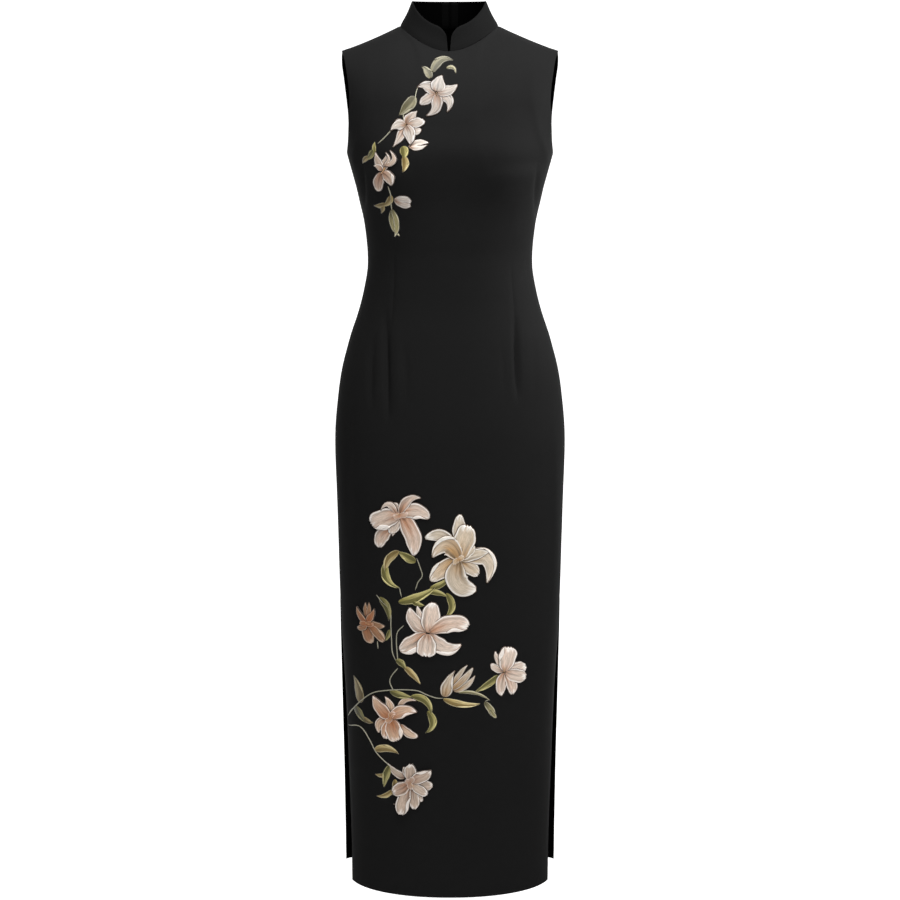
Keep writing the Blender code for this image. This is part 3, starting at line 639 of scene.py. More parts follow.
def flow(table, column, at):
    """Read a column of a table at the given places, along a smooth curve that never overshoots its rows."""
    places = np.array([row[0] for row in table], float)
    values = np.array([getattr(row, column) for row in table], float)
    if places[0] > places[-1]:
        places, values = places[::-1], values[::-1]
    steps = np.diff(places)
    slopes = np.diff(values) / steps
    tangents = np.zeros(len(values))
    rising = slopes[:-1] * slopes[1:] > 0
    before, after = slopes[:-1][rising], slopes[1:][rising]
    tangents[1:-1][rising] = 2 * before * after / (before + after)
    tangents[0], tangents[-1] = slopes[0], slopes[-1]
    at = np.asarray(at, float)
    cell = np.clip(np.searchsorted(places, at) - 1, 0, len(steps) - 1)
    step = steps[cell]
    share = (at - places[cell]) / step
    return hermite(share, values[cell], values[cell + 1], tangents[cell] * step, tangents[cell + 1] * step)


def ridge(x):
    """Height of the line over the shoulders at half width x."""
    beyond = np.maximum(x - NECK_HALF, 0)
    inside = np.minimum(x / NECK_HALF, 1)
    return RIDGE_RISE * (1 - inside**2) - SHOULDER_SLOPE * beyond + SHOULDER_EASE * beyond**2


def full_half(edge_x, edge_share, square):
    """Half width of the whole section whose edge stands at edge_x, edge_share of the depth forward."""
    return edge_x / (1 - edge_share**square) ** (1 / square)


def even_steps(edge_x, edge_share, depth, square, count):
    """Half widths of points that divide a section evenly, from its centre to its edge."""
    angles = np.linspace(0, math.acos(edge_share ** (square / 2)), SECTION_POINTS)
    x = full_half(edge_x, edge_share, square) * np.sin(angles) ** (2 / square)
    y = depth * np.cos(angles) ** (2 / square)
    lengths = lengths_along(np.stack([x, y], axis=1))
    return np.interp(np.linspace(0, lengths[-1], count + 1), lengths, x)


def section_depth(x, full, square):
    """Share of the depth that a section has left at half width x."""
    return np.maximum(1 - (x / full) ** square, 0) ** (1 / square)


class Side(namedtuple("Side", "name sign neck_depth armhole_depth hollow hem_lift darts folds swells")):
    """The front or the back: its sign along y, what its chest or shoulder blades ask for, and its marks."""

    def level(self, column, z):
        return flow(LEVELS, f"{self.name}_{column}" if column else self.name, z)


FRONT_MARKS = FRONT_DARTS, FRONT_FOLDS, FRONT_SWELLS
FRONT = Side("front", -1, NECK_FRONT, ARMHOLE_FRONT, CHEST_HOLLOW, 0.0, *FRONT_MARKS)
BACK = Side("back", 1, NECK_BACK, ARMHOLE_BACK, NAPE_FULLNESS, BACK_HEM_LIFT, BACK_DARTS, BACK_FOLDS, ())


def skirt_row(side, z):
    """Level section at height z, from the centre line to the side edge."""
    edge_x, depth = side.level("x", z), side.level("", z)
    edge_share = abs(side.level("y", z)) / depth
    square = side.level("square", z)
    x = even_steps(edge_x, edge_share, depth, square, COLUMNS)
    y = side.sign * depth * section_depth(x, full_half(edge_x, edge_share, square), square)
    y[-1] = side.level("y", z)
    return np.stack([x, y, np.full_like(x, z)], axis=1)


def power_at(side, x):
    """How much the climb departs from an ellipse: most at the centre, not at all near the armhole."""
    return 1 + (side.hollow - 1) * ease(1 - x / HOLLOW_REACH)


def top_places(side, full, square, depth):
    """Half width and climb of each column where it ends on the neckline or on the shoulder seam."""
    turn = np.linspace(0, math.pi / 2, NECK_STEPS + 1)
    neck_x = NECK_HALF * np.sin(turn)
    neck_share = side.neck_depth * np.cos(turn) / (depth * section_depth(neck_x, full, square))
    neck_climb = np.arccos(neck_share ** (1 / power_at(side, neck_x)))
    shoulder_x = np.linspace(NECK_HALF, SHOULDER_HALF, SHOULDER_STEPS + 1)[1:]
    x = np.concatenate([neck_x, shoulder_x])
    climb = np.concatenate([neck_climb, np.full(SHOULDER_STEPS, math.pi / 2)])
    return x, climb


def bodice_rows(side):
    """The rows above the underarm, each from the centre line or the neckline to the armhole."""
    depth = float(side.level("", UNDERARM_Z))
    square = float(side.level("square", UNDERARM_Z))
    around = np.linspace(0, math.pi, ARMHOLE_STEPS + 1)[1:]
    rows = []
    for height in (1 - np.cos(around)) / 2:
        edge_x = float(flow(ARMHOLE, f"{side.name}_x", height))
        edge_share = 2 * side.armhole_depth / depth * math.sqrt(height / (1 + height))
        full = full_half(edge_x, edge_share, square)
        climb = math.asin(min(height, 1))
        raised = climb / (math.pi / 2)
        even = even_steps(edge_x, edge_share, depth * math.cos(climb), square, COLUMNS)
        top_x, top_climb = top_places(side, full, square, depth)
        blend = raised**CLIMB_POWER
        x = even * (1 - blend) + top_x * (edge_x / SHOULDER_HALF) * blend
        climbs = raised * top_climb
        y = side.sign * depth * np.cos(climbs) ** power_at(side, x) * section_depth(x, full, square)
        z = UNDERARM_Z + (ridge(x) - UNDERARM_Z) * np.sin(climbs)
        rows.append(np.stack([x, y, z], axis=1))
    rows[-1][NECK_STEPS:, 1] = 0
    return rows


def ease_underarm(rows, underarm):
    """Take out the crease where the level sections turn into climbing ones, all but at the side edge."""
    near = np.arange(underarm - EASED_ROWS, underarm + EASED_ROWS + 1)
    hold = (np.arange(COLUMNS + 1) / COLUMNS) ** 4
    for _ in range(EASING_PASSES):
        middle = (rows[near - 1] + 2 * rows[near] + rows[near + 1]) / 4
        rows[near] += (middle - rows[near]) * (1 - hold)[None, :, None]


def ease_neck(rows, underarm):
    """Take out the crease that would run down from the side neck point, all but at the seams."""
    near = np.arange(NECK_STEPS - EASED_COLUMNS, NECK_STEPS + EASED_COLUMNS + 1)
    loose = np.ones(len(rows) - underarm)
    loose[-2:] = EASED_TOP_ROW, 0
    for _ in range(EASING_PASSES):
        middle = (rows[underarm:, near - 1] + 2 * rows[underarm:, near] + rows[underarm:, near + 1]) / 4
        rows[underarm:, near] += (middle - rows[underarm:, near]) * loose[:, None, None]


def coarse_half(side):
    """The frame's own grid of one half of the front or back, in millimetres and without darts."""
    heights = [np.linspace(run.low, run.high, run.steps + 1)[:-1] for run in RUNS]
    heights = np.concatenate(heights + [[UNDERARM_Z]])
    rows = np.array([skirt_row(side, z) for z in heights] + bodice_rows(side))
    ease_underarm(rows, len(heights) - 1)
    ease_neck(rows, len(heights) - 1)
    if side is FRONT:
        bust = bell(rows[..., 0] - BUST_X, BUST_WIDE) * bell(rows[..., 2] - BUST_Z, BUST_HIGH)
        rows[..., 1] -= BUST_OUT * bust
    raised = np.clip(1 - (rows[..., 2] - HEM_Z) / HEM_LIFT_REACH, 0, 1)
    rows[..., 2] += side.hem_lift * raised
    return rows


def fine_places(cells, steps, dense=None):
    """Places along a row or column of cells: even steps, closer at both ends and in the dense stretch."""
    inner = np.concatenate([np.linspace(i, i + 1, n, endpoint=False) for i, n in zip(range(cells), steps)])
    if dense:
        inner = inner[(inner < dense[0]) | (inner > dense[1])]
        inner = np.concatenate([inner, np.arange(dense[0], dense[1], DART_STEP)])
    ends = np.array(EDGE_SHARES)
    inner = inner[(inner > EVEN_FROM) & (inner < cells - EVEN_FROM)]
    return np.unique(np.round(np.concatenate([[0], ends, inner, cells - ends, [cells]]), 6))


UNDERARM_ROW = RUNS[0].steps + RUNS[1].steps
ROW_CELLS = UNDERARM_ROW + ARMHOLE_STEPS
ROW_PLACES = fine_places(
    ROW_CELLS, [SKIRT_CELL_STEPS] * RUNS[0].steps + [BODY_CELL_STEPS] * (ROW_CELLS - RUNS[0].steps)
)
COLUMN_PLACES = fine_places(COLUMNS, [PANEL_CELL_STEPS] * COLUMNS, DART_CELLS)
# The centre line takes even steps too, and the side neck point is always among the places.
CENTRE_CLEAR = 0.9 / PANEL_CELL_STEPS
COLUMN_PLACES = np.unique(np.concatenate([COLUMN_PLACES[COLUMN_PLACES > CENTRE_CLEAR], [0, NECK_STEPS]]))
NECK = int(np.searchsorted(COLUMN_PLACES, NECK_STEPS))


def read_spline(padded, at):
    """Rows read at fractional places, along curves through them; the first and last only give directions."""
    cell = np.clip(at.astype(int), 0, len(padded) - 4)
    return spline(*(padded[cell + k] for k in range(4)), (at - cell)[:, None, None])


def read_rows(grid, at):
    """Grid read at fractional rows. Over the shoulder it runs on into the other panel's first row, and its
    side edge has a corner at the underarm, between side seam and armhole."""
    before, beyond = 2 * grid[0] - grid[1], 2 * grid[-1] - grid[-2]
    over = np.abs(np.arange(grid.shape[1]) - COLUMNS) >= NECK_STEPS
    beyond[over] = grid[-2][over] * (1, -1, 1)
    read = read_spline(np.concatenate([before[None], grid, beyond[None]]), at)
    edge, corner = grid[:, -1], UNDERARM_ROW
    seam = np.stack([before[-1], *edge[: corner + 1], 2 * edge[corner] - edge[corner - 1]])
    armhole = np.stack([edge[corner + 1] * (1, -1, 1), *edge[corner:], beyond[-1]])
    low = at <= corner
    parts = read_spline(seam[:, None], at[low]), read_spline(armhole[:, None], at[~low] - corner)
    read[:, -1:] = np.concatenate(parts)
    return read


def read_columns(grid, at):
    """Grid read at fractional columns, along curves that allow for uneven columns and never overshoot."""
    steps = np.diff(grid, axis=1)
    chords = np.linalg.norm(steps, axis=2, keepdims=True)
    slopes = steps / chords
    before, after = chords[:, :-1], chords[:, 1:]
    even = (slopes[:, :-1] * after + slopes[:, 1:] * before) / (before + after)
    level = slopes[:, :-1] * slopes[:, 1:] > 0
    limit = 3 * np.minimum(np.abs(slopes[:, :-1]), np.abs(slopes[:, 1:])) * level
    even = np.clip(even, -limit, limit)
    tangents = np.concatenate([slopes[:, :1], even, slopes[:, -1:]], axis=1)
    cell = np.clip(at.astype(int), 0, grid.shape[1] - 2)
    slopes = tangents[:, cell] * chords[:, cell], tangents[:, cell + 1] * chords[:, cell]
    return hermite((at - cell)[None, :, None], grid[:, cell], grid[:, cell + 1], *slopes)


def read_corner(grid, at):
    """Columns read with a corner at the side neck point, between neckline and shoulder seam."""
    corner = COLUMNS + NECK_STEPS
    beyond = grid[:, corner - 1] * (1, -1, 1) + grid[:, corner] * (0, 2, 0)
    neck = np.concatenate([grid[:, : corner + 1], beyond[:, None]], axis=1)
    on_neck = at <= corner
    shoulder = read_columns(grid[:, corner:], at[~on_neck] - corner)
    return np.concatenate([read_columns(neck, at[on_neck]), shoulder], axis=1)


@lru_cache(maxsize=None)
def fine_half(side):
    """One half of the front or back as it is worn, finely and in millimetres."""
    coarse = coarse_half(side)
    # Above the lower run of rows, the side seam lies in the side plane.
    coarse[RUNS[0].steps : UNDERARM_ROW + 1, -1, 1] = 0
    whole = np.concatenate([(coarse * (-1, 1, 1))[:, :0:-1], coarse], axis=1)
    rows, at = read_rows(whole, ROW_PLACES), COLUMNS + COLUMN_PLACES
    near_top = np.clip(1 - (ROW_CELLS - ROW_PLACES) / CORNER_CELLS, 0, 1)[:, None, None] ** 2
    grid = read_columns(rows, at) * (1 - near_top) + read_corner(rows, at) * near_top
    grid[:, 0, 0] = 0
    grid[-1, NECK:, 1] = 0
    return grid


def skin_normals(grid):
    """Unit outward normals of a half panel, by its rows and columns."""
    down = np.gradient(grid, ROW_PLACES, axis=0)
    along = np.gradient(grid, COLUMN_PLACES, axis=1)
    normals = unit(np.cross(along, down))
    return normals * np.sign(normals[len(grid) // 2, 0, 1] * grid[len(grid) // 2, 0, 1])


def seam_normals(grid):
    """Outward normals that lie flat in the seam planes, so that two panels meet face to face."""
    normals = skin_normals(grid)
    normals[:, 0, 0] = 0
    on_side_seam = (np.abs(grid[:, -1, 1]) < FRAME_HALF_GAP) & (grid[:, -1, 2] <= UNDERARM_Z)
    normals[on_side_seam, -1, 1] = 0
    normals[-1, NECK] = normals[-1, NECK + 1]
    normals[-1, NECK:, 1] = 0
    return unit(normals), on_side_seam


def rim_point(turn):
    """Point on the collar's top edge, turned from the centre front (0) to the centre back (pi)."""
    fall = RIM_FALL * np.maximum(np.cos(turn), 0) ** RIM_FALL_POWER
    centre_y, depth = (RIM_BACK - RIM_FRONT) / 2, (RIM_BACK + RIM_FRONT) / 2
    return np.stack([RIM_HALF * np.sin(turn), centre_y - depth * np.cos(turn), RIM_Z - fall], axis=-1)


def neckline(side, grid, normals):
    """Where panel and collar meet: the points, the rim, the mitre, the way across it, and outwards."""
    points = grid[-1, : NECK + 1]
    turn = COLUMN_PLACES[: NECK + 1] / NECK_STEPS * math.pi / 2
    rim = rim_point(turn if side is FRONT else math.pi - turn)
    along = unit(np.gradient(points, turn, axis=0))
    along[0] = (1, 0, 0)
    along[-1] = (0, 1, 0)
    panel_out = normals[-1, : NECK + 1]
    panel_out = unit(panel_out - along * np.sum(panel_out * along, axis=1, keepdims=True))
    rise = rim - points
    rise = unit(rise - along * np.sum(rise * along, axis=1, keepdims=True))
    collar_out = np.cross(along, rise)
    collar_out *= np.sign(np.sum(collar_out * panel_out, axis=1, keepdims=True))
    panel_rise = np.cross(along, panel_out)
    panel_rise *= np.sign(np.sum(panel_rise * rise, axis=1, keepdims=True))
    half_turn = np.sum(unit(panel_out + collar_out) * panel_out, axis=1, keepdims=True)
    return points, rim, unit(panel_out + collar_out) / half_turn, unit(panel_rise + rise), collar_out


def fold_line(fold, z):
    """Share of the way down a fold and its line's x there, on a curve through its three points."""
    share = (z - fold.top_z) / (fold.end_z - fold.top_z)
    middle = (fold.mid_z - fold.top_z) / (fold.end_z - fold.top_z)
    straight = fold.top_x + (fold.end_x - fold.top_x) * share
    bow = fold.mid_x - (fold.top_x + (fold.end_x - fold.top_x) * middle)
    return share, straight + bow * share * (1 - share) / (middle * (1 - middle))


def let_in(points, fold, depth, width):
    """How far a fold of this depth and width draws in each point, in millimetres."""
    share, line_x = fold_line(fold, points[..., 2])
    reach = np.sin(math.pi * np.clip(share, 0, 1)) ** FOLD_TAPER
    return depth * reach * bell(points[..., 0] - line_x, width)


def edge_distances(grid):
    """Distance of each point from the outer edge along its row, and from the top and hem along its column."""
    across = np.linalg.norm(np.diff(grid, axis=1), axis=2)
    up = np.linalg.norm(np.diff(grid, axis=0), axis=2)
    from_edge = np.zeros(grid.shape[:2])
    from_edge[:, :-1] = np.cumsum(across[:, ::-1], axis=1)[:, ::-1]
    from_top = np.zeros(grid.shape[:2])
    from_top[:-1] = np.cumsum(up[::-1], axis=0)[::-1]
    from_hem = np.zeros(grid.shape[:2])
    from_hem[1:] = np.cumsum(up, axis=0)
    return from_edge, from_top, from_hem


def turned(distance, width):
    """The low step that a turned edge leaves, from its full height at the edge to nothing past its width."""
    beyond = np.clip((distance - width) / TURNED_SOFT, -40, 40)  # farther out, exp would overflow
    return TURNED_STEP / (1 + np.exp(beyond))


def sewing_marks(side, grid, sizes):
    """How far seams and turned edges move each point of a half panel outwards, in millimetres."""
    from_edge, from_top, from_hem = edge_distances(grid)
    z = grid[:, -1:, 2]
    seam, soft = sizes.seam_let_in / MM, sizes.seam_soft / MM
    at_side = np.clip((z - SLIT_TOP_Z) / SEAM_FADE, 0, 1) * np.clip((UNDERARM_Z - z) / SEAM_FADE, 0, 1)
    at_neck = np.arange(grid.shape[1]) <= NECK
    top, top_soft = np.where(at_neck, NECK_LET_IN, seam), np.where(at_neck, NECK_SOFT, soft)
    marks = -seam * at_side * bell(from_edge, soft) - top * bell(from_top, top_soft)
    if side is BACK:
        marks = marks - seam * bell(grid[..., 0], soft)
    in_armhole = np.clip((z - UNDERARM_Z) / FACING_FADE_Z, 0, 1)
    in_slit = np.clip((SLIT_TOP_Z - z) / FACING_FADE_Z, 0, 1)
    marks = marks + in_armhole * turned(from_edge, ARMHOLE_FACING)
    return marks + in_slit * turned(from_edge, SLIT_TURNING) + turned(from_hem, HEM_TURNING)


def wearing_marks(side, seen, sizes):
    """How far darts, folds and swells move each point outwards; seen is the grid on its own side of x."""
    marks = np.zeros(seen.shape[:2])
    for dart in side.darts:
        crease = sizes.dart_line / MM * min(dart.depth / DEEP_DART, 1)
        marks -= let_in(seen, dart, dart.depth, dart.width)
        marks -= let_in(seen, dart, crease, sizes.dart_line_soft / MM)
    for fold in side.folds:
        marks -= let_in(seen, fold, fold.depth, fold.width)
    for swell in side.swells:
        beside = np.exp(-(((seen[..., 0] - swell.x) / swell.wide) ** 4))
        marks += swell.out * beside * bell(seen[..., 2] - swell.z, swell.high)
    return marks


def hung(points):
    """Points in millimetres, moved with the neck to the wearer's right, all but at the centre back."""
    x, y, z = (points[..., axis] for axis in range(3))
    up = ease((z - HANG_LOW) / (HANG_HIGH - HANG_LOW))
    forward = ease((HANG_BACK - y) / (HANG_BACK - HANG_FRONT))
    share = up * forward * np.exp(-((x / HANG_HALF) ** 4))
    return points - share[..., None] * (HANG_SHIFT, 0, 0)


def panel_skins(side, hand, sizes):
    """Outer and inner grids of one half of a panel, in metres; hand is 1 on the wearer's left."""
    grid = fine_half(side).copy()
    normals, on_side_seam = seam_normals(grid)
    _, _, mitre, across, _ = neckline(side, grid, normals)
    lifts = normals.copy()
    lifts[-1, : NECK + 1] = mitre
    from_edge, _, from_hem = edge_distances(grid)
    # Folds run out before the side seam, where both panels lie level.
    worn = wearing_marks(side, grid * (hand, 1, 1), sizes) * (1 - bell(from_edge, FOLD_STOP))
    marks = sewing_marks(side, grid, sizes) + worn
    grid[on_side_seam, -1, 1] = side.sign * SEWN_GAP
    grid[-1, NECK:, 1] = side.sign * SEWN_GAP
    grid[-1, : NECK + 1] -= across * NECK_GAP / 2
    outer = grid + normals * marks[..., None]
    if side is BACK:
        low = np.clip(1 - from_hem / CORNER_HIGH, 0, 1) ** 2
        outer[..., 2] += CORNER_EASE * bell(from_edge, CORNER_REACH) * low
    inner = outer - lifts * sizes.panel_wall / MM
    if side is BACK:
        outer[:, 0, 0] = inner[:, 0, 0] = SEWN_GAP
    return [hung(skin * (hand, 1, 1)) * MM for skin in (outer, inner)]


# ---------------------------------------------------------------- meshes


@lru_cache(maxsize=None)
def shell_faces(rows, columns):
    """Faces of the closed shell between two grids, whose points follow one another row by row."""
    first = np.arange(rows * columns).reshape(rows, columns)
    quads = np.stack([first[:-1, :-1], first[:-1, 1:], first[1:, 1:], first[1:, :-1]], axis=-1).reshape(-1, 4)
    ring = np.concatenate([first[0, :-1], first[:-1, -1], first[-1, :0:-1], first[:0:-1, 0]])
    after = np.roll(ring, -1)
    second = rows * columns
    sides = np.stack([after, ring, ring + second, after + second], axis=-1)
    return np.concatenate([quads, quads[:, ::-1] + second, sides])


def mesh_object(name, points, faces, material):
    """Object of a closed mesh, smooth and with its faces outwards."""
    data = bpy.data.meshes.new(name)
    data.from_pydata(np.asarray(points).reshape(-1, 3).tolist(), [], np.asarray(faces).tolist())
    work = bmesh.new()
    work.from_mesh(data)
    bmesh.ops.recalc_face_normals(work, faces=work.faces[:])
    work.to_mesh(data)
    work.free()
    data.shade_smooth()
    data.materials.append(material)
    made = bpy.data.objects.new(name, data)
    bpy.context.scene.collection.objects.link(made)
    return made


def roll_edges(made, width):
    """Round the edges of a wall, where its skins meet its narrow sides."""
    bpy.ops.object.select_all(action="DESELECT")
    bpy.context.view_layer.objects.active = made
    made.select_set(True)
    bevel = made.modifiers.new("rolled edges", "BEVEL")
    bevel.width = width
    bevel.segments = ROLL_SEGMENTS
    bevel.limit_method = "ANGLE"
    bevel.angle_limit = math.radians(ROLL_ANGLE)
    bevel.use_clamp_overlap = True
    bpy.ops.object.modifier_apply(modifier=bevel.name)
    made.select_set(False)
    return made


def cloth_wall(name, outer, inner, edge, material):
    """A wall of cloth between two skins, with rounded edges, whose inner skin is marked to be painted in
    shade.
    """
    made = mesh_object(name, np.stack([outer, inner]), shell_faces(*outer.shape[:2]), material)
    points = outer[..., 0].size
    # Marks the inner skin, which the crepe paints in shade
    inside_shade_mask = np.repeat([0.0, 1.0], points).astype(np.float32)
    made.data.attributes.new("wrong_side", "FLOAT", "POINT").data.foreach_set("value", inside_shade_mask)
    return roll_edges(made, edge)


def settle(made, slot=None, *nodes):
    """Make a finished piece ride with the dress, in place of the frame's nodes that it stands for."""
    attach(made, "dress")
    if nodes:
        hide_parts(*nodes)


# ---------------------------------------------------------------- materials


def add_node(tree, kind, inputs=(), **settings):
    """Add a node with its settings; inputs are socket names with a value or with a socket to link."""
    made = tree.nodes.new(kind)
    for key, value in settings.items():
        setattr(made, key, value)
    for key, value in dict(inputs).items():
        if isinstance(value, bpy.types.NodeSocket):
            tree.links.new(value, made.inputs[key])
        else:
            made.inputs[key].default_value = value
    return made


def new_material(name, **values):
    """Material with a Principled shader; values are its sockets, with _ for a space."""
    made = bpy.data.materials.new(name)
    made.use_nodes = True
    shader = made.node_tree.nodes["Principled BSDF"]
    for key, value in values.items():
        shader.inputs[key.replace("_", " ")].default_value = value
    return made, made.node_tree, shader


def rgba(colour, share=1.0):
    return (*[part * share for part in colour], 1)


def crepe(name, colour):
    """Wool-blend crepe, woven from hard-twisted yarn: the twist draws the surface into a fine pebble that
    scatters light, so it is matt. Its inner skin is painted far darker, as the shade inside the dress, and
    has no shine."""
    made, tree, shader = new_material(name, Roughness=0.65)
    place = add_node(tree, "ShaderNodeTexCoord").outputs["Object"]
    # The pebble is drawn at 1.5 mm, about twice its real size, so that it shows.
    weave = {"Vector": place, "Scale": 1 / CREPE_GRAIN, "Detail": 3.0, "Roughness": 0.6}
    pebble = add_node(tree, "ShaderNodeTexNoise", weave).outputs["Fac"]
    patches = {"Vector": place, "Scale": 1 / LUSTRE_PATCH, "Detail": 2.0}
    lustre = add_node(tree, "ShaderNodeTexNoise", patches).outputs["Fac"]
    depths = {"Factor": lustre, "A": rgba(colour, 0.9), "B": rgba(colour, 1.1)}
    depth = add_node(tree, "ShaderNodeMix", depths, data_type="RGBA").outputs["Result"]
    specks = {"Factor": pebble, "A": rgba(colour, 0.75), "B": rgba(colour, 1.3)}
    speck = add_node(tree, "ShaderNodeMix", specks, data_type="RGBA").outputs["Result"]
    both = {"Factor": 0.5, "A": depth, "B": speck}
    dyed = add_node(tree, "ShaderNodeMix", both, data_type="RGBA").outputs["Result"]
    # Painted shade: the inner skin is darkened as if in the dress's own shadow, and loses its shine
    wrong_side = add_node(tree, "ShaderNodeAttribute", attribute_name="wrong_side").outputs["Fac"]
    sides = {"Factor": wrong_side, "A": dyed, "B": rgba(colour, INSIDE_SHADE)}
    inside_shaded = add_node(tree, "ShaderNodeMix", sides, data_type="RGBA")
    shine = add_node(tree, "ShaderNodeMapRange", {"Value": wrong_side, "To Min": CREPE_SHINE, "To Max": 0.0})
    bump = add_node(tree, "ShaderNodeBump", {"Height": pebble, "Strength": 0.35, "Distance": 0.25 * MM})
    tree.links.new(inside_shaded.outputs["Result"], shader.inputs["Base Color"])
    tree.links.new(shine.outputs["Result"], shader.inputs["Specular IOR Level"])
    tree.links.new(bump.outputs["Normal"], shader.inputs["Normal"])
    return made


def silk_thread(name, stitch, strand, twist):
    """Stranded silk, laid side by side in satin stitch: each strand catches light along its length, and the
    dye varies a little from strand to strand. Twist slants the strands, as in stem stitch."""
    looks = {"Roughness": 0.55, "Specular_IOR_Level": 0.35, "Sheen_Weight": 0.15, "Sheen_Roughness": 0.4}
    made, tree, shader = new_material(name, **looks)
    thread = add_node(tree, "ShaderNodeAttribute", attribute_name="thread").outputs["Color"]
    flat = add_node(tree, "ShaderNodeUVMap", uv_map="stitch").outputs["UV"]
    turn = {"Vector": flat, "Scale": (1 / stitch, 1 / strand, 1), "Rotation": (0, 0, twist)}
    lie = add_node(tree, "ShaderNodeMapping", turn).outputs["Vector"]
    # Strands are drawn 0.85 mm apart, about three at a time, so that they show.
    laid = {"Vector": lie, "Scale": 1.0, "Detail": 2.5, "Roughness": 0.65}
    strands = add_node(tree, "ShaderNodeTexNoise", laid).outputs["Fac"]
    spread = {"Value": strands, "From Min": 0.32, "From Max": 0.66, "To Min": 0.62, "To Max": 1.14}
    dye = add_node(tree, "ShaderNodeMapRange", spread).outputs["Result"]
    dyed = add_node(tree, "ShaderNodeVectorMath", {0: thread, 1: dye}, operation="MULTIPLY")
    bump = add_node(tree, "ShaderNodeBump", {"Height": strands, "Strength": 0.6, "Distance": 0.3 * MM})
    tree.links.new(dyed.outputs["Vector"], shader.inputs["Base Color"])
    tree.links.new(bump.outputs["Normal"], shader.inputs["Normal"])
    return made


def woven_tape(name, colour):
    """Polyester zip tape, woven in a plain weave: flat, with a fine regular rib across it."""
    made, tree, shader = new_material(name, Roughness=0.8, Specular_IOR_Level=0.01)
    place = add_node(tree, "ShaderNodeTexCoord").outputs["Object"]
    wave = {"Vector": place, "Scale": 1 / TAPE_RIB}
    rib = add_node(tree, "ShaderNodeTexWave", wave, bands_direction="Z").outputs["Fac"]
    shades = {"Factor": rib, "A": rgba(colour, 0.8), "B": rgba(colour, 1.2)}
    dyed = add_node(tree, "ShaderNodeMix", shades, data_type="RGBA")
    bump = add_node(tree, "ShaderNodeBump", {"Height": rib, "Strength": 0.4, "Distance": 0.1 * MM})
    tree.links.new(dyed.outputs["Result"], shader.inputs["Base Color"])
    tree.links.new(bump.outputs["Normal"], shader.inputs["Normal"])
    return made


def black_enamel(name, colour):
    """Die-cast zinc, dipped in black enamel and stoved: smooth and satin, with a slight orange peel."""
    made, tree, shader = new_material(name, Roughness=0.6, Specular_IOR_Level=0.15)
    place = add_node(tree, "ShaderNodeTexCoord").outputs["Object"]
    dimples = {"Vector": place, "Scale": 1 / ENAMEL_PEEL, "Detail": 1.0}
    peel = add_node(tree, "ShaderNodeTexNoise", dimples).outputs["Fac"]
    shades = {"Factor": peel, "A": rgba(colour, 0.9), "B": rgba(colour, 1.15)}
    coat = add_node(tree, "ShaderNodeMix", shades, data_type="RGBA")
    bump = add_node(tree, "ShaderNodeBump", {"Height": peel, "Strength": 0.2, "Distance": 0.05 * MM})
    tree.links.new(coat.outputs["Result"], shader.inputs["Base Color"])
    tree.links.new(bump.outputs["Normal"], shader.inputs["Normal"])
    return made


def sweep_paper(name, colour, glow):
    """Translucent studio paper, lit from behind where it is a backdrop: matt, with hardly any grain."""
    looks = {"Roughness": 0.9, "Specular_IOR_Level": 0.1, "Emission_Color": (1, 1, 1, 1)}
    made, tree, shader = new_material(name, **looks)
    place = add_node(tree, "ShaderNodeTexCoord").outputs["Object"]
    behind = add_node(tree, "ShaderNodeSeparateXYZ", {"Vector": place}).outputs["Y"]
    reach = {"Value": behind, "From Min": GLOW_FROM, "From Max": GLOW_FULL, "To Min": 0.0, "To Max": glow}
    lit = add_node(tree, "ShaderNodeMapRange", reach)
    fibres = {"Vector": place, "Scale": PAPER_GRAIN, "Detail": 2.0}
    grain = add_node(tree, "ShaderNodeTexNoise", fibres).outputs["Fac"]
    shades = {"Factor": grain, "A": rgba(colour, 0.99), "B": rgba(colour, 1.01)}
    paper = add_node(tree, "ShaderNodeMix", shades, data_type="RGBA")
    tree.links.new(lit.outputs["Result"], shader.inputs["Emission Strength"])
    tree.links.new(paper.outputs["Result"], shader.inputs["Base Color"])
    return made


def material_of(name, make, *values):
    """The material of this name, made when it is first asked for."""
    return bpy.data.materials.get(name) or make(name, *values)


# ---------------------------------------------------------------- the garment's pieces


def make_front(sizes, colours):
    """One panel over the whole front: its two halves share the centre column."""
    halves = [panel_skins(FRONT, hand, sizes) for hand in (-1, 1)]
    outer, inner = (np.concatenate([right[:, :0:-1], left], axis=1) for right, left in zip(*halves))
    material = material_of("black crepe", crepe, colours.crepe)
    settle(cloth_wall("front_panel", outer, inner, sizes.panel_edge, material), "crepe", "front")


def make_back(hand_name, hand, sizes, colours):
    """Half of the back, from the centre-back seam to the side seam and the armhole."""
    outer, inner = panel_skins(BACK, hand, sizes)
    material = material_of("black crepe", crepe, colours.crepe)
    made = cloth_wall(f"back_panel_{hand_name}", outer, inner, sizes.panel_edge, material)
    settle(made, "crepe", f"back_{hand_name}")


